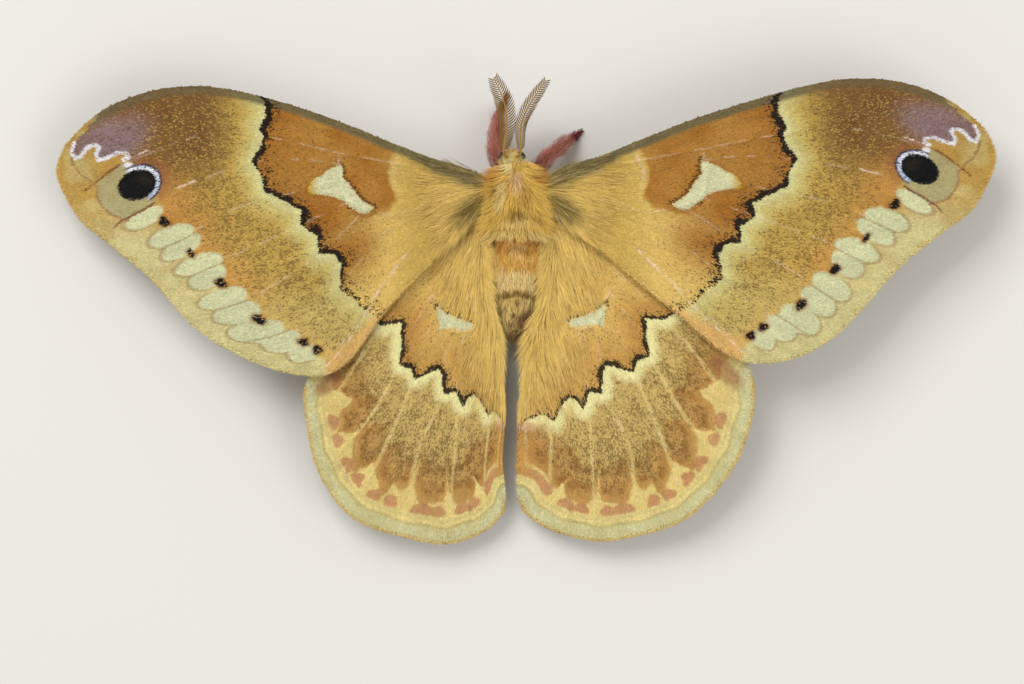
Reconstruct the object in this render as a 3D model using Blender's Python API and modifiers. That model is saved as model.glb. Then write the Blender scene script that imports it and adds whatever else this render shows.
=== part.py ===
"""Sweetbay silkmoth at rest with its wings spread, life size.

Every size and place below is in millimetres, and MM turns it into metres.
+X is the moth's right, +Y runs from tail to head and +Z is up from the floor that its feet rest on.
The wings' plan is drawn from the body's middle line: first number outwards, second forwards.
"""

import math
import random

import bmesh
import bpy
import numpy as np
from mathutils import Matrix, Vector, geometry
from mathutils.bvhtree import BVHTree

MM = 0.001
GAP = 0.3
COLLECTION = "sweetbay_silkmoth"

# Middle line of the body, to the left of the middle of the spread wings
BODY_X = -0.95

# Core of the thorax, an egg cut flat where the head, the abdomen, the wings and the legs meet it
THORAX_CENTRE = (0.0, 11.2, 5.6)
THORAX_SEMI = (2.65, 3.5, 2.35)
THORAX_BACK_SEMI = 5.2
NECK_Y = 14.0
WAIST_Y = 8.2
SIDE_X = 2.45
STERNUM_Z = 3.6

# Coat of the thorax: rows of flat locks that lie backwards and overlap
THORAX_COAT = {
    "centre": THORAX_CENTRE, "semi": THORAX_SEMI, "back": THORAX_BACK_SEMI,
    "rows_deg": (38.0, 54.0, 70.0, 86.0, 102.0, 116.0), "reach_deg": 140.0, "spacing": 0.95,
    "sweep_deg": 44.0, "fan_deg": 10.0, "depths": (-0.7, 0.2, 0.6, 0.9), "width": 1.05,
}
LOCK_THICKNESS = 0.5
LOCK_VARIES = 0.18
LOCK_CLEAR = 0.37
LOCK_HEIGHTS = (LOCK_THICKNESS, LOCK_THICKNESS, LOCK_THICKNESS * 0.7)
# Size and lift of a lock, tried in turn where another part is close
LOCK_TRIES = ((1.0, 0.0), (1.0, 0.25), (1.0, 0.45), (0.75, 0.0), (0.6, 0.0), (0.5, 0.0))

# Head, its tuft, palps and eyes
HEAD_CENTRE = (-0.4, 15.1, 4.9)
HEAD_SEMI = (1.2, 1.2, 1.25)
EYE_RADIUS = 0.62
EYE_OUT = 0.76
EYE_AHEAD = 0.4
HEAD_COAT = {
    "centre": HEAD_CENTRE, "semi": HEAD_SEMI, "back": HEAD_SEMI[1],
    "rows_deg": (30.0, 58.0, 84.0), "reach_deg": 180.0, "spacing": 0.6,
    "sweep_deg": 46.0, "fan_deg": 0.0, "depths": (-0.4, 0.05, 0.25, 0.3), "width": 0.66,
}
BROW_BENDS = ((0.5, 0.0), (0.3, -0.15), (0.25, -0.3))
BROW_WIDTH = 0.72
BROW_ROOTS = (-0.55, -0.05, 0.45)
PALP_WAY = ((-0.1, -1.1), (0.6, -1.3), (1.2, -1.45))
PALP_RADIUS = 0.26
PALP_OUT = 0.32

# Abdomen, a turned body that slopes down to its blunt tip
ABDOMEN_LENGTH = 11.0
ABDOMEN_ROOT_Z = 5.2
ABDOMEN_TIP_Z = 2.9
ABDOMEN_RADIUS = 2.4
ABDOMEN_RINGS = 7
ABDOMEN_RING_DEPTH = 0.1
TIP_LOCKS = 9
TIP_LOCK_LENGTH = 1.3
TIP_LOCK_WIDTH = 0.9

# Antennae: the stem's way from the brow to the tip, and the rays of its comb
ANTENNA_RADIUS = 0.3
ANTENNA_SPREAD = 0.5
ANTENNA_AHEAD = 0.5
ANTENNA_SCAPE = 0.5
ANTENNA_WAYS = {
    "left": ((-0.9, 18.6, 7.2), (-1.2, 20.9, 7.9), (-2.2, 23.3, 8.6)),
    "right": ((0.5, 18.6, 7.2), (1.4, 20.7, 7.9), (3.0, 23.0, 8.6)),
}
RAY_STEP = 0.82
RAY_LENGTH = 1.3
RAY_THICKNESS = 0.5
RAY_SLANT = 0.45
RAY_DROOP = 0.5
RAY_SUNK = 0.1
RAY_SHORTEST = 0.4
RAY_STAGGER = 0.06

# Wings
MEMBRANE = 0.5
VEIN_RISE = 0.25
VEIN_HALF_WIDTH = 0.35
OUTLINE_STEP = 2.1
VEIN_STEP = 4.4
WING_ROOT_X = SIDE_X + GAP
FORE_ROOT_Z = 6.5
HIND_DROP = 1.2
SPAN_RISE = 0.16
SPAN_BEND = {"left": 0.0052, "right": 0.0036}
CHORD_START_Y = 8.0
CHORD_BEND = 0.0032

# Plan of the right forewing: the costa from the root to the apex, the outer margin, the hind margin
FORE_OUTLINE = (
    (2.75, 13.6), (8.4, 15.75), (12.9, 17.55), (18.4, 19.65), (25.6, 21.85), (30.4, 23.05),
    (34.0, 23.45), (38.0, 23.2), (42.4, 21.85), (46.0, 19.45), (47.8, 16.9), (48.0, 14.6),
    (45.9, 10.35), (42.9, 7.95), (38.4, 4.35), (34.1, -0.45), (31.5, -2.85), (27.9, -4.75),
    (23.7, -5.25), (20.4, -4.05), (15.6, -0.05), (9.4, 4.95), (5.9, 8.0), (2.75, 11.1),
)
# Plan of the right hindwing: the front margin, hidden but for its end, the outer and the inner margin
HIND_OUTLINE = (
    (2.75, 9.9), (8.4, 6.6), (18.4, 0.15), (22.4, -3.6), (23.8, -6.45), (24.0, -8.85),
    (23.6, -11.25), (22.4, -14.85), (19.9, -18.45), (17.2, -20.85), (14.2, -22.15), (8.9, -23.2),
    (4.4, -22.4), (1.4, -20.85), (0.1, -19.0), (-0.1, -14.85), (0.3, -8.85), (1.4, -1.65),
    (2.75, 2.15), (2.75, 7.6),
)
FORE_VEINS = {
    "costa": ((3.2, 13.3), (8.4, 15.2), (12.9, 17.0), (18.4, 19.1), (25.6, 21.2), (34.0, 22.7), (41.0, 21.7)),
    "radius": ((3.2, 12.9), (10.0, 14.6), (18.6, 16.2), (26.0, 17.6), (33.7, 18.2), (42.3, 15.9), (45.5, 13.8)),
    "media_1": ((18.6, 15.1), (22.9, 15.5), (27.9, 15.1), (33.9, 14.1), (38.8, 12.4), (43.0, 10.2)),
    "media_2": ((19.0, 13.2), (25.4, 12.1), (32.5, 10.5), (39.8, 6.8)),
    "media_3": ((18.4, 11.4), (24.4, 9.3), (32.5, 6.3), (36.6, 3.6)),
    "cubitus_1": ((16.4, 10.6), (21.9, 7.1), (27.4, 4.1), (32.8, 0.4)),
    "cubitus_2": ((12.4, 10.0), (17.4, 6.1), (21.9, 2.5), (28.2, -3.0)),
    "cell": ((3.3, 12.3), (8.4, 11.4), (12.4, 10.0), (15.6, 10.35), (18.4, 11.4), (19.0, 13.2), (18.6, 16.2)),
    "anal": ((3.4, 11.6), (8.4, 8.6), (12.2, 6.2), (16.3, 2.3), (23.2, -4.2)),
}
HIND_VEINS = {
    "subcosta": ((3.3, 9.4), (8.4, 5.6), (16.2, -2.1), (20.0, -7.1), (23.0, -11.0)),
    "radius": ((3.3, 8.8), (9.3, 2.0), (12.4, -2.4), (16.0, -9.1), (20.6, -15.4)),
    "media_1": ((9.0, 0.6), (10.9, -3.4), (12.4, -7.3), (14.9, -13.5), (16.9, -19.2)),
    "media_2": ((8.0, -1.2), (8.4, -4.9), (8.8, -8.3), (11.4, -13.7), (12.4, -21.2)),
    "media_3": ((6.2, -1.6), (6.8, -4.7), (7.4, -10.0), (7.8, -17.9), (8.1, -22.2)),
    "cubitus": ((4.8, -0.8), (4.4, -4.9), (3.6, -11.2), (3.4, -21.0)),
    "cell": ((3.3, 8.3), (4.3, 2.4), (4.8, -0.8), (6.2, -1.6), (8.0, -1.2), (9.3, 2.0)),
    "anal": ((3.4, 2.2), (2.0, -3.0), (1.1, -9.0), (1.0, -15.0), (1.3, -18.4)),
}
# Places on the right wing, and where the left wing, turned a little and drooping more, has them
FORE_PAIRS = (
    ((2.75, 13.6), (2.75, 13.6)), ((2.75, 11.1), (2.75, 11.1)), ((12.9, 17.55), (12.9, 17.25)),
    ((26.0, 21.95), (25.0, 21.55)), ((34.0, 23.45), (33.2, 22.75)), ((42.4, 21.85), (41.6, 20.45)),
    ((48.1, 15.65), (46.3, 14.05)), ((40.3, 14.25), (37.9, 12.75)), ((37.9, 10.75), (35.3, 9.05)),
    ((28.3, 0.65), (25.5, -0.85)), ((45.9, 10.35), (43.9, 9.15)), ((38.4, 4.35), (36.6, 3.15)),
    ((31.5, -2.85), (30.6, -2.85)), ((23.7, -5.25), (20.1, -6.55)), ((15.6, -0.05), (13.3, -0.45)),
    ((9.4, 4.95), (8.7, 4.25)), ((18.6, 15.05), (17.5, 14.65)), ((22.4, 12.75), (20.7, 12.25)),
    ((15.6, 10.35), (14.2, 10.05)), ((27.6, 14.55), (25.9, 14.35)), ((20.2, 6.95), (17.6, 6.05)),
)
HIND_PAIRS = (
    ((2.75, 9.9), (2.75, 9.9)), ((2.75, 7.6), (2.75, 7.6)), ((2.75, 2.15), (2.75, 2.15)),
    ((1.4, -1.65), (1.7, -1.65)), ((0.3, -8.85), (1.1, -8.85)), ((-0.1, -14.85), (1.3, -14.85)),
    ((0.1, -19.35), (0.9, -19.35)), ((8.9, -23.15), (7.6, -23.45)), ((17.2, -20.85), (16.4, -20.85)),
    ((22.4, -14.85), (20.4, -14.85)), ((24.0, -8.85), (21.4, -8.85)), ((23.7, -6.45), (21.2, -7.65)),
    ((18.4, 0.15), (17.1, -0.85)), ((12.9, -0.95), (11.4, -1.35)), ((13.3, -4.25), (11.6, -5.15)),
    ((8.5, -7.05), (7.2, -7.25)), ((3.8, -11.35), (2.8, -10.75)), ((8.8, -0.45), (7.7, -0.75)),
    ((5.4, -1.05), (4.4, -1.35)),
)

# Legs: hip, knee, end of the shin and foot, and the radius from the hip to the foot with its close hair
COXA_LENGTH = 0.75
LEG_RADII = (0.46, 0.5, 0.55, 0.44, 0.54, 0.38, 0.31, 0.29)
FOOT_HEIGHT = 0.2
HIP_Z = STERNUM_Z - GAP
LEG_JOINTS = {
    "leg_front_left": ((-1.05, 13.0), (-2.1, 15.9, 3.3), (-1.9, 19.3, 1.5), (-0.9, 22.1)),
    "leg_front_right": ((1.05, 13.0), (3.2, 15.6, 3.1), (5.3, 17.3, 1.5), (6.6, 18.3)),
    "leg_mid_left": ((-1.45, 11.0), (-4.9, 12.6, 4.0), (-8.2, 10.9, 1.6), (-10.4, 9.8)),
    "leg_mid_right": ((1.45, 11.0), (4.9, 12.6, 4.0), (8.2, 10.9, 1.6), (10.4, 9.8)),
    "leg_hind_left": ((-1.2, 9.2), (-4.4, 5.2, 4.0), (-6.2, 0.4, 1.7), (-7.2, -3.4)),
    "leg_hind_right": ((1.2, 9.2), (4.4, 5.2, 4.0), (6.2, 0.4, 1.7), (7.2, -3.4)),
}

# Long hair on the base of each hindwing: rows from the root, and places across each row
HAIR_ROWS = (7.2, 5.4, 3.6, 1.6, -0.6, -3.0)
HAIR_FIRST_X = 3.6
HAIR_SPACING = 1.15
HAIR_ACROSS = 5
HAIR_WAY = (0.32, -1.0)
HAIR_LENGTH = 3.2
HAIR_WIDTH = 1.0
HAIR_RISES = (-0.1, 0.3, 0.45, 0.5)

# Colours and roughness of the parts
COLOURS = {
    "thorax": ((0.62, 0.33, 0.10, 1.0), 0.85),
    "head": ((0.66, 0.40, 0.13, 1.0), 0.85),
    "abdomen": ((0.60, 0.29, 0.13, 1.0), 0.85),
    "eye": ((0.02, 0.012, 0.01, 1.0), 0.2),
    "antenna": ((0.50, 0.33, 0.12, 1.0), 0.7),
    "forewing": ((0.62, 0.34, 0.09, 1.0), 0.75),
    "hindwing": ((0.64, 0.36, 0.10, 1.0), 0.75),
    "leg": ((0.45, 0.17, 0.15, 1.0), 0.7),
}


def clear_scene():
    for item in list(bpy.data.objects):
        bpy.data.objects.remove(item, do_unlink=True)


def new_collection(name):
    collection = bpy.data.collections.new(name)
    bpy.context.scene.collection.children.link(collection)
    return collection


def new_material(name, kind):
    colour, roughness = COLOURS[kind]
    material = bpy.data.materials.new(name)
    material.use_nodes = True
    shader = material.node_tree.nodes["Principled BSDF"]
    shader.inputs["Base Color"].default_value = colour
    shader.inputs["Roughness"].default_value = roughness
    shader.inputs["Metallic"].default_value = 0.0
    return material


def finish_node(name, bm, kind, collection):
    """Turn a mesh in millimetres, drawn from the body's middle line, into a named object in metres."""
    bmesh.ops.transform(bm, matrix=Matrix.Translation((BODY_X, 0.0, 0.0)), verts=bm.verts)
    bmesh.ops.scale(bm, vec=(MM, MM, MM), verts=bm.verts)
    bmesh.ops.recalc_face_normals(bm, faces=bm.faces)
    mesh = bpy.data.meshes.new(name)
    bm.to_mesh(mesh)
    bm.free()
    mesh.materials.append(new_material(name, kind))
    mesh.shade_smooth()
    mesh.set_sharp_from_angle(angle=math.radians(40.0))
    item = bpy.data.objects.new(name, mesh)
    collection.objects.link(item)
    return item


def ellipsoid(centre, semi, around=24, rows=16):
    bm = bmesh.new()
    bmesh.ops.create_uvsphere(bm, u_segments=around, v_segments=rows, radius=1.0)
    bmesh.ops.scale(bm, vec=semi, verts=bm.verts)
    bmesh.ops.translate(bm, vec=centre, verts=bm.verts)
    return bm


def cut_flat(bm, point, outward):
    """Cut away what lies beyond a plane, and close the cut with one flat face."""
    cut = bmesh.ops.bisect_plane(
        bm, geom=bm.verts[:] + bm.edges[:] + bm.faces[:], dist=1e-4,
        plane_co=point, plane_no=outward, clear_outer=True,
    )
    rim = [part for part in cut["geom_cut"] if isinstance(part, bmesh.types.BMEdge)]
    bmesh.ops.contextual_create(bm, geom=rim)


def smooth_line(points, step, closed=False):
    """Points about one step apart along a smooth curve through the given ones."""
    ends = [Vector(point) for point in points]
    count = len(ends)
    spans = count if closed else count - 1
    line = []
    for index in range(spans):
        if closed:
            before, start, end, after = (ends[(index + shift) % count] for shift in (-1, 0, 1, 2))
        else:
            start, end = ends[index], ends[index + 1]
            before = ends[index - 1] if index else start * 2 - end
            after = ends[index + 2] if index + 2 < count else end * 2 - start
        pieces = max(1, round((end - start).length / step))
        for piece in range(pieces):
            t = piece / pieces
            line.append(0.5 * (
                2 * start + (end - before) * t
                + (2 * before - 5 * start + 4 * end - after) * t ** 2
                + (3 * start - before - 3 * end + after) * t ** 3
            ))
    if not closed:
        line.append(ends[-1])
    return line


def thin_plate(pairs):
    """A smooth bend of the plane that takes the first place of each pair to the second."""
    source = np.array([pair[0] for pair in pairs])
    target = np.array([pair[1] for pair in pairs])
    count = len(source)

    def kernel(places):
        squares = ((places[:, None, :] - source[None, :, :]) ** 2).sum(axis=2)
        return squares * np.log(squares + 1e-12)

    system = np.zeros((count + 3, count + 3))
    system[:count, :count] = kernel(source)
    system[:count, count:] = np.hstack([np.ones((count, 1)), source])
    system[count:, :count] = system[:count, count:].T
    weights = np.linalg.solve(system, np.vstack([target, np.zeros((3, 2))]))

    def bend(point):
        place = np.array([[point[0], point[1]]])
        row = np.hstack([kernel(place), np.ones((1, 1)), place])
        return Vector((row @ weights)[0])

    return bend


def wing_height(side, kind, x, y):
    """Middle height of the membrane over a place on the plan."""
    span = x - WING_ROOT_X
    chord = max(0.0, CHORD_START_Y - y)
    height = FORE_ROOT_Z + SPAN_RISE * span - SPAN_BEND[side] * span * abs(span) - CHORD_BEND * chord ** 2
    return height - (HIND_DROP if kind == "hind" else 0.0)


def distance_to_line(point, line):
    best = math.inf
    for start, end in zip(line, line[1:]):
        nearest, share = geometry.intersect_point_line(point, start, end)
        if share < 0.0:
            nearest = start
        elif share > 1.0:
            nearest = end
        best = min(best, (point - Vector(nearest[:2])).length)
    return best


def ridge_lines(line, half_width):
    """The crest of a vein and the two feet of its ridge, which meet at its ends."""
    left, right = [line[0]], [line[0]]
    for before, point, after in zip(line, line[1:], line[2:]):
        along = (after - before).normalized()
        across = Vector((-along.y, along.x)) * half_width
        left.append(point + across)
        right.append(point - across)
    left.append(line[-1])
    right.append(line[-1])
    return line, left, right


def wing_plan(outline, veins):
    """Triangles of the wing's plan, with edges along its margin and along each ridge."""
    places = list(outline)
    margin = list(range(len(outline)))
    edges = []
    for vein in veins:
        for line in ridge_lines(vein, VEIN_HALF_WIDTH):
            first = len(places)
            places.extend(line)
            edges.extend((first + index, first + index + 1) for index in range(len(line) - 1))
    corners, _, triangles, _, _, _ = geometry.delaunay_2d_cdt(places, edges, [margin], 1, 0.02)
    return corners, triangles


def wing_shape(side, kind, outline, veins, pairs):
    """One sheet with the same triangles on both faces, its upper face raised along the veins."""
    place = thin_plate(pairs) if side == "left" else Vector
    margin = [place(point) for point in smooth_line(outline, OUTLINE_STEP, closed=True)]
    lines = [[place(point) for point in smooth_line(vein, VEIN_STEP)] for vein in veins.values()]
    corners, triangles = wing_plan(margin, lines)
    bm = bmesh.new()
    flat = [bm.verts.new((corner.x, corner.y, 0.0)) for corner in corners]
    for triangle in triangles:
        bm.faces.new([flat[index] for index in triangle])
    bottom = list(bm.verts)
    top = bmesh.ops.extrude_face_region(bm, geom=bm.faces[:])["geom"]
    for vert in bottom:
        vert.co.z = wing_height(side, kind, vert.co.x, vert.co.y) - MEMBRANE / 2
    for vert in (part for part in top if isinstance(part, bmesh.types.BMVert)):
        away = min(distance_to_line(vert.co.to_2d(), line) for line in lines)
        rise = VEIN_RISE * max(0.0, 1.0 - away / VEIN_HALF_WIDTH)
        vert.co.z = wing_height(side, kind, vert.co.x, vert.co.y) + MEMBRANE / 2 + rise
    if side == "left":
        bmesh.ops.scale(bm, vec=(-1.0, 1.0, 1.0), verts=bm.verts)
        bmesh.ops.recalc_face_normals(bm, faces=bm.faces)
    return bm


def tube(points, radii, bevel_resolution=2):
    """A closed tube along the points, in millimetres, with a radius at each."""
    curve = bpy.data.curves.new("tube", "CURVE")
    curve.dimensions = "3D"
    curve.bevel_depth = 1.0
    curve.bevel_resolution = bevel_resolution
    curve.use_fill_caps = True
    spline = curve.splines.new("POLY")
    spline.points.add(len(points) - 1)
    for knot, point, radius in zip(spline.points, points, radii):
        knot.co = (*point, 1.0)
        knot.radius = radius
    item = bpy.data.objects.new("tube", curve)
    bpy.context.scene.collection.objects.link(item)
    bpy.context.view_layer.update()
    mesh = bpy.data.meshes.new_from_object(item.evaluated_get(bpy.context.evaluated_depsgraph_get()))
    bm = bmesh.new()
    bm.from_mesh(mesh)
    bmesh.ops.remove_doubles(bm, verts=bm.verts, dist=1e-4)
    bpy.data.objects.remove(item, do_unlink=True)
    bpy.data.meshes.remove(mesh)
    return bm


def loose_object(name, bm, collection):
    """A plain object of a mesh in millimetres, for a union or a cut."""
    mesh = bpy.data.meshes.new(name)
    bmesh.ops.recalc_face_normals(bm, faces=bm.faces)
    bm.to_mesh(mesh)
    bm.free()
    item = bpy.data.objects.new(name, mesh)
    collection.objects.link(item)
    return item


def largest_surface(bm):
    """Keep only the closed surface with the most faces."""
    unseen = set(bm.faces)
    islands = []
    while unseen:
        island, edge_of = set(), [unseen.pop()]
        while edge_of:
            face = edge_of.pop()
            island.add(face)
            fresh = {near for edge in face.edges for near in edge.link_faces} & unseen
            unseen -= fresh
            edge_of.extend(fresh)
        islands.append(island)
    islands.sort(key=len)
    for island in islands[:-1]:
        bmesh.ops.delete(bm, geom=list(island), context="FACES")


def fuse(core, pieces):
    """Join closed pieces to a core by one Boolean union."""
    group = new_collection("pieces")
    body = loose_object("core", core, bpy.context.scene.collection)
    for index, piece in enumerate(pieces):
        loose_object(f"piece_{index}", piece, group)
    union = body.modifiers.new("join", "BOOLEAN")
    union.operation = "UNION"
    union.operand_type = "COLLECTION"
    union.collection = group
    union.solver = "EXACT"
    bpy.context.view_layer.update()
    joined = bpy.data.meshes.new_from_object(body.evaluated_get(bpy.context.evaluated_depsgraph_get()))
    bm = bmesh.new()
    bm.from_mesh(joined)
    for item in list(group.objects) + [body]:
        bpy.data.objects.remove(item, do_unlink=True)
    bpy.data.collections.remove(group)
    bpy.data.meshes.remove(joined)
    bmesh.ops.dissolve_degenerate(bm, dist=1e-4, edges=bm.edges)
    largest_surface(bm)
    return bm


def blade(path, ups, widths, heights):
    """A closed body of four-sided sections along a path, from a flat root to a pointed tip."""
    bm = bmesh.new()
    rings = []
    for index, (up, width, height) in enumerate(zip(ups, widths, heights)):
        along = (path[index + 1] - path[max(index - 1, 0)]).normalized()
        across = along.cross(up).normalized()
        rise = across.cross(along).normalized()
        corners = (across * width, rise * height, -across * width, -rise * height)
        rings.append([bm.verts.new(path[index] + corner / 2) for corner in corners])
    tip = bm.verts.new(path[-1])
    bm.faces.new(rings[0])
    for index in range(4):
        after = (index + 1) % 4
        for ring, further in zip(rings, rings[1:]):
            bm.faces.new((ring[index], ring[after], further[after], further[index]))
        bm.faces.new((rings[-1][index], rings[-1][after], tip))
    return bm


def lock_widths(width):
    return [width * part for part in (0.8, 1.0, 0.75)]


def coat_point(coat, turn, around, depth):
    """A place on a rounded core: turn from its front, around from its top, depth over it."""
    wide, front, tall = coat["semi"]
    length = front if turn < math.pi / 2 else coat["back"]
    offset = Vector((
        (wide + depth) * math.sin(turn) * math.sin(around),
        length * math.cos(turn),
        (tall + depth) * math.sin(turn) * math.cos(around),
    ))
    return Vector(coat["centre"]) + offset


def coat_lock(coat, turn, around, size, lift):
    """One flat lock that leaves the core and bends to lie backwards over it."""
    steps = len(coat["depths"]) - 1
    fan = math.radians(coat["fan_deg"]) * math.sin(around)
    path, ups = [], []
    for index, depth in enumerate(coat["depths"]):
        share = index / steps
        place = turn + math.radians(coat["sweep_deg"]) * size * share
        point = coat_point(coat, place, around + fan * share, depth + lift * share)
        path.append(point)
        ups.append((point - coat_point(coat, place, around, depth - 1.0)).normalized())
    return blade(path, ups, lock_widths(coat["width"] * size), LOCK_HEIGHTS)


def is_clear(bm, trees):
    """True where every corner and the middle of every edge and face keep off the other parts."""
    places = [vert.co for vert in bm.verts] + [face.calc_center_median() for face in bm.faces]
    places += [(edge.verts[0].co + edge.verts[1].co) / 2 for edge in bm.edges]
    shape = BVHTree.FromBMesh(bm)
    for tree in trees:
        if shape.overlap(tree):
            return False
        if any(tree.find_nearest(place, LOCK_CLEAR)[0] is not None for place in places):
            return False
    return True


def coat_locks(coat, trees):
    """Rows of locks from front to back, smaller or left out where another part is close."""
    draw = random.Random(7)
    reach = math.radians(coat["reach_deg"])
    locks = []
    for row, turn_deg in enumerate(coat["rows_deg"]):
        turn = math.radians(turn_deg)
        girth = 2 * reach * coat["semi"][0] * math.sin(turn)
        count = max(5, round(girth / coat["spacing"]))
        for index in range(count):
            share = (index + 0.25 + 0.5 * (row % 2)) / count
            around = reach * (2 * share - 1)
            size = 1.0 + draw.uniform(-LOCK_VARIES, LOCK_VARIES)
            for shrink, lift in LOCK_TRIES:
                piece = coat_lock(coat, turn, around, size * shrink, lift)
                if is_clear(piece, trees):
                    locks.append(piece)
                    break
                piece.free()
    return locks


def wing_hair(side, row, place):
    """One lock on the base of a hindwing, lying backwards over the membrane."""
    way = Vector(HAIR_WAY).normalized()
    start = Vector((HAIR_FIRST_X + HAIR_SPACING * (place + 0.5 * (row % 2)), HAIR_ROWS[row]))
    path = []
    for index, rise in enumerate(HAIR_RISES):
        spot = start + way * HAIR_LENGTH * index / (len(HAIR_RISES) - 1)
        path.append(Vector((*spot, wing_height(side, "hind", *spot) + MEMBRANE / 2 + rise)))
    piece = blade(path, [Vector((0.0, 0.0, 1.0))] * 3, lock_widths(HAIR_WIDTH), LOCK_HEIGHTS)
    if side == "left":
        bmesh.ops.scale(piece, vec=(-1.0, 1.0, 1.0), verts=piece.verts)
    return piece


def wing_hairs(side, trees):
    """The locks on the base of one hindwing that keep clear of the body and of the wing over them."""
    pieces = [wing_hair(side, row, place) for row in range(len(HAIR_ROWS)) for place in range(HAIR_ACROSS)]
    return [piece for piece in pieces if is_clear(piece, trees)]


def thorax_shape(trees):
    bm = ellipsoid(THORAX_CENTRE, THORAX_SEMI)
    for vert in bm.verts:
        behind = THORAX_CENTRE[1] - vert.co.y
        if behind > 0.0:
            vert.co.y = THORAX_CENTRE[1] - behind * THORAX_BACK_SEMI / THORAX_SEMI[1]
    cut_flat(bm, (0, NECK_Y, 0), (0, 1, 0))
    cut_flat(bm, (0, WAIST_Y, 0), (0, -1, 0))
    cut_flat(bm, (SIDE_X, 0, 0), (1, 0, 0))
    cut_flat(bm, (-SIDE_X, 0, 0), (-1, 0, 0))
    cut_flat(bm, (0, 0, STERNUM_Z), (0, 0, -1))
    return fuse(bm, coat_locks(THORAX_COAT, trees))


def eye_centre(sign):
    return Vector(HEAD_CENTRE) + Vector((sign * EYE_OUT, EYE_AHEAD, 0.0))


def cut_eye_pocket(bm, sign, cutters):
    """A round pocket in the side of the head that leaves the gap all round the eye."""
    radius = EYE_RADIUS + GAP + 0.05
    depth = HEAD_SEMI[0]
    cutter = bmesh.new()
    middle = eye_centre(sign) + Vector((sign * (depth / 2 - GAP), 0.0, 0.0))
    bmesh.ops.create_cone(cutter, cap_ends=True, segments=16, radius1=radius, radius2=radius, depth=depth)
    bmesh.ops.rotate(cutter, verts=cutter.verts, matrix=Matrix.Rotation(math.pi / 2, 3, "Y"))
    bmesh.ops.translate(cutter, verts=cutter.verts, vec=middle)
    tool = loose_object("eye_pocket", cutter, cutters)
    tool.hide_render = True
    tool.display_type = "WIRE"
    body = loose_object("core", bm, bpy.context.scene.collection)
    cut = body.modifiers.new("cut", "BOOLEAN")
    cut.operation = "DIFFERENCE"
    cut.object = tool
    bpy.context.view_layer.update()
    mesh = bpy.data.meshes.new_from_object(body.evaluated_get(bpy.context.evaluated_depsgraph_get()))
    result = bmesh.new()
    result.from_mesh(mesh)
    bpy.data.objects.remove(body, do_unlink=True)
    bpy.data.meshes.remove(mesh)
    tool.matrix_world = Matrix.Scale(MM, 4) @ Matrix.Translation((BODY_X, 0.0, 0.0))
    return result


def brow_lock(up):
    """One lock of the tuft on the face, pointing forwards and bending down."""
    root = Vector(HEAD_CENTRE) + Vector((0.0, HEAD_SEMI[1] * 0.7, up))
    path = [root]
    for ahead, rise in BROW_BENDS:
        path.append(path[-1] + Vector((0.0, ahead, rise)))
    widths = (BROW_WIDTH, BROW_WIDTH, BROW_WIDTH * 0.8)
    return blade(path, [Vector((0.0, 0.0, 1.0))] * 3, widths, (0.5, 0.5, 0.4))


def palp(sign):
    """A short blunt feeler under the face."""
    path = [Vector(HEAD_CENTRE) + Vector((sign * PALP_OUT, ahead, up)) for ahead, up in PALP_WAY]
    return tube(path, (PALP_RADIUS, PALP_RADIUS, PALP_RADIUS * 0.7), 1)


def head_shape(trees, cutters):
    bm = ellipsoid(HEAD_CENTRE, HEAD_SEMI, 20, 12)
    cut_flat(bm, (0, NECK_Y + GAP, 0), (0, -1, 0))
    for sign in (-1, 1):
        bm = cut_eye_pocket(bm, sign, cutters)
    tuft = [brow_lock(up) for up in BROW_ROOTS]
    tuft = [piece for piece in tuft if is_clear(piece, trees)]
    return fuse(bm, coat_locks(HEAD_COAT, trees) + tuft + [palp(-1), palp(1)])


def eye_shape(sign):
    """Half a ball whose flat side faces the head."""
    bm = ellipsoid(eye_centre(sign), (EYE_RADIUS, EYE_RADIUS, EYE_RADIUS), 16, 10)
    cut_flat(bm, eye_centre(sign), (-sign, 0, 0))
    return bm


def abdomen_radius(share):
    """Radius along the abdomen: it swells and narrows to a blunt tip, each ring widest at its hind edge."""
    swell = 0.86 + 0.14 * math.sin(math.pi * min(1.0, share / 0.6))
    narrow = 1.0 - 0.34 * max(0.0, (share - 0.4) / 0.6) ** 1.5
    blunt = math.sqrt(max(0.0, 1.0 - max(0.0, (share - 0.82) / 0.18) ** 2))
    ring = ABDOMEN_RING_DEPTH * (ABDOMEN_RINGS * share % 1.0)
    return (ABDOMEN_RADIUS * swell * narrow - ABDOMEN_RING_DEPTH + ring) * blunt


def tip_lock(index):
    """One lock of the ring round the abdomen's tip, drawn with the abdomen's axis upright."""
    around = 2 * math.pi * (index + 0.5) / TIP_LOCKS
    out = Vector((math.cos(around), math.sin(around), 0.0))
    down = Vector((0.0, 0.0, -1.0))
    start = out * abdomen_radius(0.86) + down * 0.86 * ABDOMEN_LENGTH
    path = [start - out * 0.45, start + out * 0.12 + down * 0.35]
    path.append(start - out * 0.05 + down * TIP_LOCK_LENGTH * 0.75)
    path.append(start - out * 0.3 + down * TIP_LOCK_LENGTH)
    widths = (TIP_LOCK_WIDTH, TIP_LOCK_WIDTH, TIP_LOCK_WIDTH * 0.6)
    return blade(path, [out] * 3, widths, (0.5, 0.5, 0.4))


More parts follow.
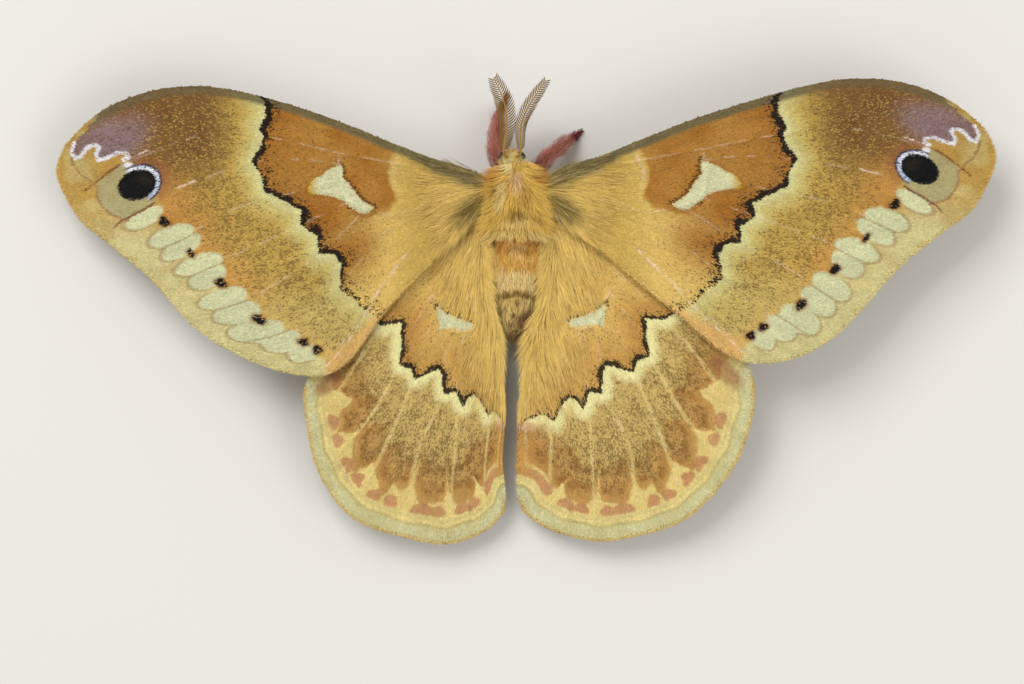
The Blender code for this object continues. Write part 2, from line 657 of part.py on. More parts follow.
def abdomen_shape():
    """A profile turned about its axis, with the tip towards -Y."""
    shares = [(ring + part) / ABDOMEN_RINGS for ring in range(ABDOMEN_RINGS) for part in (0.0, 0.45, 0.9)]
    profile = [(abdomen_radius(share), share * ABDOMEN_LENGTH) for share in shares]
    profile.append((0.0, ABDOMEN_LENGTH))
    bm = bmesh.new()
    line = [bm.verts.new((0.0, 0.0, 0.0))]
    line += [bm.verts.new((radius, 0.0, -along)) for radius, along in profile]
    for start, end in zip(line, line[1:]):
        bm.edges.new((start, end))
    mesh = bpy.data.meshes.new("profile")
    bm.to_mesh(mesh)
    bm.free()
    item = bpy.data.objects.new("profile", mesh)
    bpy.context.scene.collection.objects.link(item)
    screw = item.modifiers.new("turn", "SCREW")
    screw.steps = screw.render_steps = 20
    screw.use_merge_vertices = True
    screw.merge_threshold = 0.0001
    bpy.context.view_layer.update()
    turned = bpy.data.meshes.new_from_object(item.evaluated_get(bpy.context.evaluated_depsgraph_get()))
    body = bmesh.new()
    body.from_mesh(turned)
    bpy.data.objects.remove(item, do_unlink=True)
    body = fuse(body, [tip_lock(index) for index in range(TIP_LOCKS)])
    slope = math.atan2(ABDOMEN_ROOT_Z - ABDOMEN_TIP_Z, ABDOMEN_LENGTH)
    lie = Matrix.Translation((0.0, WAIST_Y, ABDOMEN_ROOT_Z)) @ Matrix.Rotation(slope - math.pi / 2, 4, "X")
    bmesh.ops.transform(body, matrix=lie, verts=body.verts)
    cut_flat(body, (0, WAIST_Y - GAP, 0), (0, 1, 0))
    return body


def head_surface(out, ahead):
    """A place on top of the head, given outwards and ahead of its centre, and the way its surface faces."""
    semi = Vector(HEAD_SEMI)
    up = semi.z * math.sqrt(1.0 - (out / semi.x) ** 2 - (ahead / semi.y) ** 2)
    from_centre = Vector((out, ahead, up))
    facing = Vector(value / size ** 2 for value, size in zip(from_centre, semi)).normalized()
    return Vector(HEAD_CENTRE) + from_centre, facing


def antenna_line(side):
    """Straight out of the brow, then forwards to the tip."""
    sign = -1 if side == "left" else 1
    socket, facing = head_surface(sign * ANTENNA_SPREAD, ANTENNA_AHEAD)
    base = socket + facing * GAP
    scape = base + facing * ANTENNA_SCAPE
    return [base] + smooth_line((scape, *ANTENNA_WAYS[side]), 0.8)


def place_along(line, distance):
    """The place and the direction at a distance along a line."""
    for start, end in zip(line, line[1:]):
        length = (end - start).length
        if distance <= length:
            break
        distance -= length
    along = (end - start).normalized()
    return start + along * distance, along


def antenna_ray(centre, along, sign, length):
    """One ray of the comb, slanting forwards and folding a little downwards."""
    out = along.cross(Vector((0.0, 0.0, 1.0))).normalized() * sign
    up = Vector((0.0, 0.0, 1.0))
    way = (out + along * RAY_SLANT).normalized()
    root = centre - out * RAY_SUNK
    path = [root]
    for share in (0.5, 0.85, 1.0):
        path.append(centre + way * length * share - up * RAY_DROOP * length * share ** 1.5)
    thick = [RAY_THICKNESS * part for part in (0.92, 1.0, 0.7)]
    return blade(path, (up, up, up), thick, thick)


def antenna_shape(side):
    line = antenna_line(side)
    last = len(line) - 1
    radii = [ANTENNA_RADIUS * (1.0 - 0.25 * index / last) for index in range(last + 1)]
    reach = sum((end - start).length for start, end in zip(line, line[1:]))
    count = int((reach - ANTENNA_SCAPE - 0.3) / RAY_STEP)
    rays = []
    for index in range(count):
        share = (index + 0.5) / count
        centre, along = place_along(line, ANTENNA_SCAPE + 0.3 + index * RAY_STEP)
        length = RAY_LENGTH * (0.62 + 0.38 * math.sin(math.pi * share))
        stagger = along * RAY_STAGGER
        for sign in (-1, 1):
            inner = sign == (1 if side == "left" else -1)
            room = abs(centre.x - HEAD_CENTRE[0]) - GAP if inner else length
            if room > RAY_SHORTEST:
                rays.append(antenna_ray(centre + stagger * sign, along, sign, min(length, room)))
    return fuse(tube(line, radii), rays)


def leg_shape(joints):
    """Hip, knee, end of the shin and foot, with the underside of the foot cut flat on the floor."""
    hip = Vector((*joints[0], HIP_Z))
    knee, shin = Vector(joints[1]), Vector(joints[2])
    foot = Vector((*joints[3], FOOT_HEIGHT))
    ankle = shin.lerp(foot, 0.55)
    ankle.z = FOOT_HEIGHT + 0.1
    below_hip = hip + Vector((0.0, 0.0, -COXA_LENGTH))
    points = [hip, below_hip, below_hip.lerp(knee, 0.5), knee, knee.lerp(shin, 0.5), shin, ankle, foot]
    bm = tube(points, LEG_RADII)
    cut_flat(bm, (0, 0, 0), (0, 0, -1))
    return bm


def main():
    clear_scene()
    moth = new_collection(COLLECTION)
    cutters = new_collection("cutters")
    shapes = {"abdomen": abdomen_shape()}
    for side, sign in (("left", -1), ("right", 1)):
        shapes["eye_" + side] = eye_shape(sign)
        shapes["antenna_" + side] = antenna_shape(side)
        shapes["forewing_" + side] = wing_shape(side, "fore", FORE_OUTLINE, FORE_VEINS, FORE_PAIRS)
        clear_of = [BVHTree.FromBMesh(shapes[name]) for name in ("abdomen", "forewing_" + side)]
        hindwing = wing_shape(side, "hind", HIND_OUTLINE, HIND_VEINS, HIND_PAIRS)
        shapes["hindwing_" + side] = fuse(hindwing, wing_hairs(side, clear_of))
    for name, joints in LEG_JOINTS.items():
        shapes[name] = leg_shape(joints)
    trees = [BVHTree.FromBMesh(shape) for shape in shapes.values()]
    shapes["head"] = head_shape(trees, cutters)
    trees.append(BVHTree.FromBMesh(shapes["head"]))
    shapes["thorax"] = thorax_shape(trees)
    for name, shape in shapes.items():
        finish_node(name, shape, name.split("_")[0], moth)


main()
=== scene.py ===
"""Looks of the sweetbay silkmoth: skins, scales, hair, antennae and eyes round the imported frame.

Shapes are worked out in millimetres from the body's middle line: x to the moth's right, y towards its
head, z up from the floor. Plan and pattern are drawn for the right wings and bent to make the left ones.
"""

import math
from types import SimpleNamespace

import bmesh
import bpy
import numpy as np
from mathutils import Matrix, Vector, geometry
from mathutils.bvhtree import BVHTree
from mathutils.kdtree import KDTree


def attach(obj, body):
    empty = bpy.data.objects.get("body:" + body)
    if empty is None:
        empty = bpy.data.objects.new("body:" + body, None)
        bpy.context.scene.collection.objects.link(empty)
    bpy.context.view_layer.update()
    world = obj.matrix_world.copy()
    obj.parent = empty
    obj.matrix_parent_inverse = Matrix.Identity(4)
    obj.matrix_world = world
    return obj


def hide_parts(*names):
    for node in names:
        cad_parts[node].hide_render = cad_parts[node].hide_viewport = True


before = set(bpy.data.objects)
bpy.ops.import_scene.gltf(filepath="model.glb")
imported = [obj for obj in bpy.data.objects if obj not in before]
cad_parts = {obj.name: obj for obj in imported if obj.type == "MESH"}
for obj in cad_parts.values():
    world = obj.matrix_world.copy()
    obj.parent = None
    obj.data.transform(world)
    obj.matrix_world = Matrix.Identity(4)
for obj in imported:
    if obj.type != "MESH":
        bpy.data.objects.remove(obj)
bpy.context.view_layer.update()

MM = 0.001
BODY_X = -0.95
FRONT_LEGS = 2
BAKE_MAP = "OFBake"
BAKE_PATCH = 0.003

# Plan of the right forewing: the costa from the root to the apex, the outer margin, the hind margin
FORE_OUTLINE = (
    (2.75, 13.6), (8.4, 15.75), (12.9, 17.55), (18.4, 19.65), (25.6, 21.85), (30.4, 23.05),
    (34.0, 23.45), (38.0, 23.2), (42.4, 21.85), (46.0, 19.45), (47.8, 16.9), (48.0, 14.6),
    (45.9, 10.35), (42.9, 7.95), (38.4, 4.35), (34.1, -0.45), (31.5, -2.85), (27.9, -4.75),
    (23.7, -5.25), (20.4, -4.05), (15.6, -0.05), (9.4, 4.95), (5.9, 8.0), (2.75, 11.1),
)
FORE_COSTA_POINTS = 10
FORE_MARGIN_POINTS = (10, 19)
HIND_OUTLINE = (
    (2.75, 9.9), (8.4, 6.6), (18.4, 0.15), (22.4, -3.6), (23.8, -6.45), (24.0, -8.85),
    (23.6, -11.25), (22.4, -14.85), (19.9, -18.45), (17.2, -20.85), (14.2, -22.15), (8.9, -23.2),
    (4.4, -22.4), (1.4, -20.85), (0.1, -19.0), (-0.1, -14.85), (0.3, -8.85), (1.4, -1.65),
    (2.75, 2.15), (2.75, 7.6),
)
HIND_MARGIN_POINTS = (4, 15)
HIND_INNER_POINTS = (14, 20)
FORE_VEINS = (
    ((3.2, 13.3), (8.4, 15.2), (12.9, 17.0), (18.4, 19.1), (25.6, 21.2), (34.0, 22.7), (41.0, 21.7)),
    ((3.2, 12.9), (10.0, 14.6), (18.6, 16.2), (26.0, 17.6), (33.7, 18.2), (42.3, 15.9), (45.5, 13.8)),
    ((18.6, 15.1), (22.9, 15.5), (27.9, 15.1), (33.9, 14.1), (38.8, 12.4), (43.0, 10.2)),
    ((19.0, 13.2), (25.4, 12.1), (32.5, 10.5), (39.8, 6.8)),
    ((18.4, 11.4), (24.4, 9.3), (32.5, 6.3), (36.6, 3.6)),
    ((16.4, 10.6), (21.9, 7.1), (27.4, 4.1), (32.8, 0.4)),
    ((12.4, 10.0), (17.4, 6.1), (21.9, 2.5), (28.2, -3.0)),
    ((3.3, 12.3), (8.4, 11.4), (12.4, 10.0), (15.6, 10.35), (18.4, 11.4), (19.0, 13.2), (18.6, 16.2)),
    ((3.4, 11.6), (8.4, 8.6), (12.2, 6.2), (16.3, 2.3), (23.2, -4.2)),
)
HIND_VEINS = (
    ((3.3, 9.4), (8.4, 5.6), (16.2, -2.1), (20.0, -7.1), (23.0, -11.0)),
    ((3.3, 8.8), (9.3, 2.0), (12.4, -2.4), (16.0, -9.1), (20.6, -15.4)),
    ((9.0, 0.6), (10.9, -3.4), (12.4, -7.3), (14.9, -13.5), (16.9, -19.2)),
    ((8.0, -1.2), (8.4, -4.9), (8.8, -8.3), (11.4, -13.7), (12.4, -21.2)),
    ((6.2, -1.6), (6.8, -4.7), (7.4, -10.0), (7.8, -17.9), (8.1, -22.2)),
    ((4.8, -0.8), (4.4, -4.9), (3.6, -11.2), (3.4, -21.0)),
    ((3.3, 8.3), (4.3, 2.4), (4.8, -0.8), (6.2, -1.6), (8.0, -1.2), (9.3, 2.0)),
    ((3.4, 2.2), (2.0, -3.0), (1.1, -9.0), (1.0, -15.0), (1.3, -18.4)),
)
# Places on the right wing, and where the left wing, turned a little and drooping more, has them
FORE_PAIRS = (
    ((2.75, 13.6), (2.75, 13.6)), ((2.75, 11.1), (2.75, 11.1)), ((12.9, 17.55), (12.9, 17.25)),
    ((26.0, 21.95), (25.0, 21.55)), ((34.0, 23.45), (33.2, 22.75)), ((42.4, 21.85), (41.6, 20.45)),
    ((48.1, 15.65), (46.3, 14.05)), ((40.3, 14.25), (37.9, 12.75)), ((37.9, 10.75), (35.3, 9.05)),
    ((28.3, 0.65), (25.5, -0.85)), ((45.9, 10.35), (43.9, 9.15)), ((38.4, 4.35), (36.6, 3.15)),
    ((31.5, -2.85), (30.6, -2.85)), ((23.7, -5.25), (20.1, -6.55)), ((15.6, -0.05), (13.3, -0.45)),
    ((9.4, 4.95), (8.7, 4.25)), ((18.6, 15.05), (17.5, 14.65)), ((22.4, 12.75), (20.7, 12.25)),
    ((15.6, 10.35), (14.2, 10.05)), ((27.6, 14.55), (25.9, 14.35)), ((20.2, 6.95), (17.6, 6.05)),
)
HIND_PAIRS = (
    ((2.75, 9.9), (2.75, 9.9)), ((2.75, 7.6), (2.75, 7.6)), ((2.75, 2.15), (2.75, 2.15)),
    ((1.4, -1.65), (1.7, -1.65)), ((0.3, -8.85), (1.1, -8.85)), ((-0.1, -14.85), (1.3, -14.85)),
    ((0.1, -19.35), (0.9, -19.35)), ((8.9, -23.15), (7.6, -23.45)), ((17.2, -20.85), (16.4, -20.85)),
    ((22.4, -14.85), (20.4, -14.85)), ((24.0, -8.85), (21.4, -8.85)), ((23.7, -6.45), (21.2, -7.65)),
    ((18.4, 0.15), (17.1, -0.85)), ((12.9, -0.95), (11.4, -1.35)), ((13.3, -4.25), (11.6, -5.15)),
    ((8.5, -7.05), (7.2, -7.25)), ((3.8, -11.35), (2.8, -10.75)), ((8.8, -0.45), (7.7, -0.75)),
    ((5.4, -1.05), (4.4, -1.35)),
)

# Arch of the wings
WING_ROOT_X = 2.75
FORE_ROOT_Z = 6.5
HIND_DROP = 1.2
SPAN_RISE = 0.16
SPAN_BEND = {"left": 0.0052, "right": 0.0036}
CHORD_START_Y = 8.0
CHORD_BEND = 0.0032

# Membrane
SKIN_HALF = 0.1
SKIN_INSET = 0.22
SKIN_STEP = 0.32
VEIN_RISE = 0.1
VEIN_HALF_WIDTH = 0.26
SAG = 0.12
SAG_REACH = 1.3

# Markings of the forewing, in its plan
FORE_LINE = (
    (26.76, 21.9), (26.03, 20.85), (26.09, 19.7), (26.82, 18.55), (26.64, 17.4), (27.12, 16.18),
    (27.91, 15.09), (27.24, 13.82), (27.12, 12.55), (26.09, 12.0), (24.64, 11.4), (23.55, 10.73),
    (23.79, 9.4), (22.28, 8.55), (22.46, 6.97), (20.88, 6.73), (20.13, 5.88), (20.36, 4.76),
    (20.58, 3.46), (19.64, 2.61), (18.65, 1.72), (17.85, 0.82), (16.8, 0.25), (14.6, -1.4),
)
FORE_MARK = (
    (18.4, 15.0), (18.52, 13.88), (17.85, 12.91), (17.25, 12.06), (16.64, 11.34), (15.49, 10.67),
    (16.4, 10.13), (17.25, 10.19), (18.1, 10.85), (19.19, 11.7), (20.28, 12.06), (21.61, 12.2),
    (22.6, 12.4), (22.34, 13.03), (21.61, 13.64), (20.76, 14.0), (19.91, 14.61), (19.0, 15.0),
)
# Line between the speckled field and the pale margin, from the costa to the hind corner
FORE_FIELD_EDGE = (
    (42.0, 22.3), (43.2, 20.9), (44.4, 19.75), (45.8, 18.6), (46.2, 17.6), (46.0, 17.0), (45.4, 17.2),
    (44.4, 18.1), (43.6, 18.1), (43.8, 17.3), (43.7, 16.8), (42.3, 17.05), (41.2, 17.35), (40.8, 16.6),
    (40.0, 15.9), (38.4, 14.2), (38.1, 12.3), (38.1, 10.75), (34.95, 7.35), (32.1, 4.1), (29.0, 0.7),
    (26.6, -0.9), (24.6, -1.9), (22.9, -3.3), (22.0, -5.6),
)
# Base side of the orange area, from the costa to the middle of the cell
FORE_BASE_EDGE = (
    (11.4, 18.0), (12.6, 15.6), (13.2, 14.2), (13.15, 13.0), (12.5, 11.5), (13.6, 10.3), (18.0, 9.0),
)
# Pale lobes on that line: centre, half length, half width and turn in degrees
FORE_LOBES = (
    (39.73, 10.97, 1.8, 0.62, -30), (36.94, 9.15, 2.05, 0.85, -18), (35.85, 7.95, 1.9, 0.75, -30),
    (34.0, 6.12, 2.08, 0.85, -20), (33.03, 4.79, 1.65, 0.9, -35), (31.46, 2.49, 1.9, 0.9, -30),
    (30.12, 1.03, 1.8, 0.95, -36), (28.3, -0.78, 2.0, 1.0, -30), (26.37, -1.63, 1.5, 0.9, -35),
    (24.67, -2.72, 1.2, 0.75, -25),
)
# Black spots between the lobes: centre, half length and half width
FORE_SPOTS = (
    (37.72, 10.68, 0.62, 0.42), (34.82, 7.38, 0.42, 0.28), (31.8, 4.2, 0.5, 0.36), (28.4, 0.7, 0.66, 0.5),
    (24.6, -1.55, 0.5, 0.36), (23.35, -2.4, 0.45, 0.4),
)
EYESPOT = ((40.32, 14.2), 1.98, 1.38, -23)
ZIGZAG = (
    (45.85, 18.6), (46.3, 17.65), (46.05, 16.95), (45.4, 17.15), (44.9, 17.8), (44.3, 18.15), (43.7, 18.25),
    (43.45, 17.95), (43.9, 17.35), (43.8, 16.7), (43.2, 16.8), (42.3, 17.1), (41.8, 17.45), (40.8, 17.25),
    (40.7, 16.9), (41.3, 16.65),
)
ARC_LINE = (
    (46.35, 17.0), (46.3, 16.4), (45.65, 15.3), (44.95, 14.85), (44.5, 14.35), (44.15, 13.9), (44.25, 13.0),
    (43.75, 11.95), (43.0, 11.2), (41.95, 10.85), (41.3, 10.72),
)
APEX_VEINS = (
    ((41.7, 16.2), (42.5, 15.8), (43.5, 15.1), (44.5, 14.35), (45.4, 13.6)),
    ((38.65, 12.55), (39.6, 11.95), (40.7, 11.35), (41.95, 10.6), (42.55, 9.9)),
)
TORNUS_LINE = ((14.5, -0.2), (19.0, -2.8), (23.6, -5.1))
# Stretches of the forewing's veins that get a painted shine
VEIN_SHINE_DASHES = (
    ((38.6, 17.45), (39.4, 17.2), (40.5, 16.8)), ((34.2, 14.2), (35.2, 13.95), (36.6, 13.7)),
    ((17.2, 1.0), (19.4, -1.1), (22.6, -4.0)), ((11.9, 6.4), (14.4, 4.0), (16.8, 1.6)),
)

# Markings of the hindwing, in its plan
HIND_LINE = (
    (16.8, 0.6), (15.58, -0.27), (14.79, -0.82), (13.46, -0.64), (12.85, -0.76), (13.03, -1.49),
    (13.15, -2.7), (13.33, -3.54), (13.33, -4.39), (12.36, -4.76), (11.88, -5.6), (11.64, -6.15),
    (10.79, -5.79), (9.94, -5.42), (9.09, -5.36), (8.55, -6.09), (8.73, -7.06), (8.67, -8.15),
    (7.4, -7.97), (7.09, -8.88), (6.79, -9.78), (6.19, -8.88), (5.34, -8.51), (4.73, -9.0),
    (4.25, -10.09), (3.76, -11.12), (3.16, -10.57), (2.55, -10.33), (1.82, -10.69), (0.61, -11.18),
    (-1.0, -11.6),
)
HIND_MARK = (
    (9.0, 0.85), (7.88, 0.09), (6.19, -0.52), (5.46, -0.76), (5.2, -1.2), (5.94, -1.55), (7.15, -1.36),
    (8.12, -1.3), (8.79, -1.6), (8.91, -0.52),
)
# Places of the outward-pointing brown points, one in each space between veins
HIND_POINTS = (
    (22.3, -6.2), (20.2, -11.95), (17.96, -16.03), (14.4, -18.07), (9.86, -19.35), (5.78, -19.35),
    (2.4, -18.5),
)

# Colours, 0 to 255 in sRGB
PALETTE = {
    "fore_yellow": (224, 192, 108), "fore_orange": (170, 110, 34), "fore_deep": (160, 100, 36),
    "fore_base": (204, 172, 88), "olive_base_and_glint": (126, 106, 54), "costa": (116, 106, 72),
    "line": (22, 16, 14), "mark": (214, 213, 172), "mark_end": (198, 164, 66),
    "pale": (214, 207, 146), "border": (207, 190, 116), "field": (198, 165, 82),
    "field_orange": (208, 156, 78),
    "speck": (106, 80, 40), "brown": (120, 80, 42), "lilac": (146, 124, 134), "white": (236, 234, 240),
    "apex": (184, 146, 70), "margin_yellow": (194, 158, 80), "margin_pale": (212, 202, 144),
    "eye_field": (174, 166, 120), "black": (5, 5, 8), "crescent": (196, 207, 226), "rim": (38, 34, 66),
    "lobe": (212, 212, 168), "outline": (158, 122, 78), "vein_dark": (120, 66, 40), "edge": (206, 166, 74),
    # The pale pink after the hind corner's colour serves pale dashes at the orange area's edge and the
    # painted shine along the veins
    "tornus": (224, 180, 108), "dash_and_shine": (236, 212, 190),
    "hind_yellow": (222, 188, 104), "hind_orange": (203, 156, 80), "hind_pale": (238, 230, 166),
    "hind_field": (206, 178, 106), "hind_brown": (192, 142, 74), "hind_arc": (150, 100, 42),
    "hind_gap": (232, 212, 136), "lunule": (196, 138, 94), "hind_band": (210, 201, 146),
    "hind_olive": (170, 158, 98), "pink": (220, 172, 130), "maroon": (150, 90, 60),
    "hair": (250, 220, 130), "hair_light": (248, 222, 150), "thorax": (240, 204, 104),
    "shoulder": (196, 138, 62), "tuft": (255, 240, 180), "sheen": (240, 206, 156),
    "dark_patch_and_shadow": (128, 84, 26), "pink_band": (250, 222, 144),
    "abdomen_orange": (222, 166, 78), "abdomen": (240, 196, 96), "abdomen_pink": (255, 228, 162),
    "abdomen_low": (236, 208, 132), "abdomen_tip": (110, 44, 22), "ring": (110, 70, 32),
    "leg": (170, 90, 78), "leg_dark": (110, 20, 26), "leg_light": (226, 158, 134),
    "antenna": (134, 104, 42), "antenna_light": (160, 126, 58), "eye": (18, 8, 5), "claw": (40, 20, 14),
    "floor": (226, 224, 219),
}

# Bits kept at each step of the noise
LOW_BITS = 0xFFFFFFFF


def linear(colour):
    """A colour of 0 to 255 in sRGB as linear light."""
    values = np.array(colour, dtype=float) / 255
    return np.where(values <= 0.04045, values / 12.92, ((values + 0.055) / 1.055) ** 2.4)


INK = {name: linear(colour) for name, colour in PALETTE.items()}


def ramp(values, start, end):
    """0 up to start, 1 from end, and smooth between."""
    share = np.clip((values - start) / (end - start), 0.0, 1.0)
    return share * share * (3 - 2 * share)


def lay(colours, name, weight):
    """Mix a named colour over others, by a weight for each."""
    colours += (INK[name] - colours) * np.asarray(weight)[:, None]


def noise(points, size, seed):
    """Smooth random values of 0 to 1 over the plane, with bumps about one size across."""
    cells = points / size
    low = np.floor(cells).astype(np.int64)
    part = cells - low
    part = part * part * (3 - 2 * part)

    def corner(right, up):
        mixed = (low[:, 0] + right) * 374761393 + (low[:, 1] + up) * 668265263 + seed * 974634777
        mixed &= LOW_BITS
        mixed = ((mixed ^ (mixed >> 13)) * 1274126177) & LOW_BITS
        return ((mixed ^ (mixed >> 16)) & 0xFFFF) / 65535.0

    lower = corner(0, 0) * (1 - part[:, 0]) + corner(1, 0) * part[:, 0]
    upper = corner(0, 1) * (1 - part[:, 0]) + corner(1, 1) * part[:, 0]
    return lower * (1 - part[:, 1]) + upper * part[:, 1]


def smooth_line(points, step, closed=False):
    """Points about one step apart along a smooth curve through the given ones."""
    ends = np.array(points, dtype=float)
    count = len(ends)
    line = []
    for index in range(count if closed else count - 1):
        start, end = ends[index], ends[(index + 1) % count]
        before = ends[index - 1] if closed or index else start * 2 - end
        after = ends[(index + 2) % count] if closed or index + 2 < count else end * 2 - start
        pieces = max(1, round(float(np.linalg.norm(end - start)) / step))
        for t in np.arange(pieces) / pieces:
            line.append(0.5 * (
                2 * start + (end - before) * t
                + (2 * before - 5 * start + 4 * end - after) * t ** 2
                + (3 * start - before - 3 * end + after) * t ** 3
            ))
    if not closed:
        line.append(ends[-1])
    return np.array(line)


def unit(vectors):
    """Vectors cut or stretched to a length of 1."""
    return vectors / np.linalg.norm(vectors, axis=-1, keepdims=True)


def walked(line):
    """Distance walked along a line at each of its points."""
    return np.concatenate([[0.0], np.cumsum(np.linalg.norm(np.diff(line, axis=0), axis=1))])


def at(line, along):
    """Places on a line, at distances walked along it."""
    steps = walked(line)
    return np.column_stack([np.interp(along, steps, values) for values in line.T])


def nearest(points, line, closed=False):
    """Distance from each point to a line, and how far along it the nearest place is."""
    line = np.asarray(line, dtype=float)
    best = np.full(len(points), np.inf)
    along = np.zeros(len(points))
    so_far = 0.0
    for start, end in zip(line, np.roll(line, -1, axis=0) if closed else line[1:]):
        way = end - start
        length = np.linalg.norm(way)
        share = np.clip((points - start) @ way / length ** 2, 0.0, 1.0)
        away = np.linalg.norm(points - start - share[:, None] * way, axis=1)
        closer = away < best
        best[closer] = away[closer]
        along[closer] = so_far + share[closer] * length
        so_far += length
    return best, along


def gap_to(points, line, closed=False):
    """Distance from each point to a line."""
    return nearest(points, line, closed)[0]


def inside(points, polygon):
    """True for each point within a closed line."""
    polygon = np.asarray(polygon, dtype=float)
    within = np.zeros(len(points), dtype=bool)
    for start, end in zip(polygon, np.roll(polygon, -1, axis=0)):
        if start[1] != end[1]:
            between = (points[:, 1] < start[1]) != (points[:, 1] < end[1])
            cross = start[0] + (points[:, 1] - start[1]) * (end[0] - start[0]) / (end[1] - start[1])
            within ^= between & (points[:, 0] < cross)
    return within


def signed(points, line, beyond):
    """Distance to a line, below 0 on the side of the far places that close it."""
    away = gap_to(points, line)
    return np.where(inside(points, list(line) + list(beyond)), -away, away)


def ellipse(points, centre, half_length, half_width, turn_deg=0.0):
    """About the distance past the edge of an ellipse, in millimetres."""
    turn = math.radians(turn_deg)
    offset = points - np.array(centre)
    along = offset[:, 0] * math.cos(turn) + offset[:, 1] * math.sin(turn)
    across = offset[:, 1] * math.cos(turn) - offset[:, 0] * math.sin(turn)
    return (np.hypot(along / half_length, across / half_width) - 1) * half_width


def thin_plate(pairs):
    """A smooth bend of the plane that takes the first place of each pair to the second."""
    source = np.array([pair[0] for pair in pairs])
    target = np.array([pair[1] for pair in pairs])
    count = len(source)

    def kernel(places):
        squares = ((places[:, None, :] - source[None, :, :]) ** 2).sum(axis=2)
        return squares * np.log(squares + 1e-12)

    system = np.zeros((count + 3, count + 3))
    system[:count, :count] = kernel(source)
    system[:count, count:] = np.hstack([np.ones((count, 1)), source])
    system[count:, :count] = system[:count, count:].T
    weights = np.linalg.solve(system, np.vstack([target, np.zeros((3, 2))]))
    return lambda places: np.hstack([kernel(places), np.ones((len(places), 1)), places]) @ weights


# Patterns

FORE_FAN = (-1.0, 13.2)
HIND_FAN = (1.2, 10.0)
EYE_LIGHT = (-0.82, 0.57)


def wobbled(points, reach, size, seed):
    """Places shifted a little at random, so that the lines drawn there waver."""
    shift = np.column_stack([noise(points, size, seed), noise(points, size, seed + 1)])
    return points + reach * (shift - 0.5)


def clumps(points, seed):
    """Uneven density of dark scales, 0 to 1."""
    return noise(points, 0.42, seed) * 0.6 + noise(points, 0.9, seed + 1) * 0.4


def oval(points, shape, start, end):
    """Weight of an oval patch, 0 at one distance inside its ellipse and 1 at another."""
    return ramp(-ellipse(points, *shape), start, end)


def layers(colours, where, *pairs):
    """Mix named colours over others in turn, each by its weight, where they belong."""
    for name, weight in pairs:
        lay(colours, name, where * weight)


def speckle(colours, density, draw, name="speck"):
    """Turn single places dark, by the density of dark scales there."""
    lay(colours, name, (draw < density) * 0.66)


def olive_patch(points):
    """Weight of the olive patch at the root of the forewing."""
    return oval(points, ((4.7, 10.2), 1.8, 1.0, -33), -0.7, 0.4)


def fore_values(points, draw):
    """What the forewing's marks share: places, noises and distances to the main lines."""
    wobble = wobbled(points, 0.32, 0.55, 11)
    steady = wobble * 0.4 + points * 0.6
    lobes = [ellipse(steady, (x, y), long * 1.06, wide * 1.24, turn) for x, y, long, wide, turn in FORE_LOBES]
    line = signed(wobble, FORE_LINE, ((-30.0, -20.0), (-30.0, 40.0), (26.8, 40.0)))
    return SimpleNamespace(
        points=points, x=points[:, 0], y=points[:, 1], draw=draw, wobble=wobble, steady=steady,
        cloud=noise(points, 2.6, 3), clump=clumps(points, 4), line=line, beyond=line > 0,
        field=signed(wobble, FORE_FIELD_EDGE, ((-30.0, -30.0), (-30.0, 40.0), (46.0, 40.0))),
        lobe=np.min(lobes, axis=0), disc=ellipse(points, *EYESPOT), olive=olive_patch(points),
        mark=inside(wobble * 0.5 + points * 0.5, FORE_MARK),
    )


def fore_root(colours, v):
    """The forewing between its root and the black line."""
    slant = v.y + 0.28 * v.x
    base = signed(v.wobble, FORE_BASE_EDGE, ((18.0, -30.0), (-20.0, -30.0), (-20.0, 30.0), (11.0, 30.0)))
    warm = ramp(base, -0.25, 0.35) * ramp(slant, 12.7, 15.0)
    lay(colours, "fore_base", 1 - ramp(v.x, 10.0, 15.0))
    lay(colours, "fore_orange", warm * (0.75 + 0.25 * v.cloud))
    lay(colours, "fore_deep", warm * ramp(-v.line, 3.4, 0.3) * 0.45)
    low_cell = ramp(v.x, 12.0, 16.5) * ramp(-v.line, 8.0, 1.0) * ramp(slant, 7.0, 12.5) * (1 - warm)
    lay(colours, "fore_orange", low_cell * 0.9)
    lay(colours, "fore_deep", low_cell * (0.15 + 0.25 * ramp(-v.line, 2.5, 0.3)))
    dusted = ramp(v.x, 12.5, 17.0) * ramp(v.y + 0.2 * v.x, 4.0, 8.0)
    speckle(colours, (0.1 + 0.3 * ramp(-v.line, 4.0, 0.5)) * dusted * v.clump, v.draw)
    lay(colours, "olive_base_and_glint", v.olive * 0.85)
    lay(colours, "dash_and_shine", ramp(np.abs(base + 0.55), 0.35, 0.1) * ramp(v.y, 12.0, 13.4) * (v.draw > 0.6) * 0.55)


def fore_field(colours, v):
    """The forewing between the black line and the pale margin."""
    line, y = v.line, v.y
    share = line / np.maximum(line - np.minimum(v.field, 0.0), 0.05)
    browned = ramp(y, 12.5, 17.5) * ramp(v.x, 28.0, 33.0)
    layers(
        colours, v.beyond,
        ("field", 1.0),
        ("border", ramp(line, 2.7, 1.0)),
        ("pale", ramp(line, 1.25, 0.35)),
        ("field_orange", ramp(share, 0.5, 0.92) * (0.8 + 0.2 * v.cloud)),
        ("fore_deep", ramp(share, 0.2, 0.6) * ramp(y, 7.0, 12.0) * 0.25),
        ("border", ramp(y, 5.5, 1.0) * 0.55),
        ("brown", browned * ramp(line, 1.0, 4.5) * (0.78 + 0.2 * v.cloud)),
    )
    dense = ramp(share, 0.08, 0.34) * (1 - ramp(share, 0.62, 0.95)) * (1 - 0.4 * ramp(y, 4.5, 1.5))
    dense = v.beyond * np.clip(dense + 0.3 * browned, 0, 1)
    speckle(colours, dense * (0.14 + 0.42 * ramp(v.clump, 0.25, 0.75)), v.draw)
    speckle(colours, v.beyond * browned * 0.35 * v.clump, 1 - v.draw, "field")


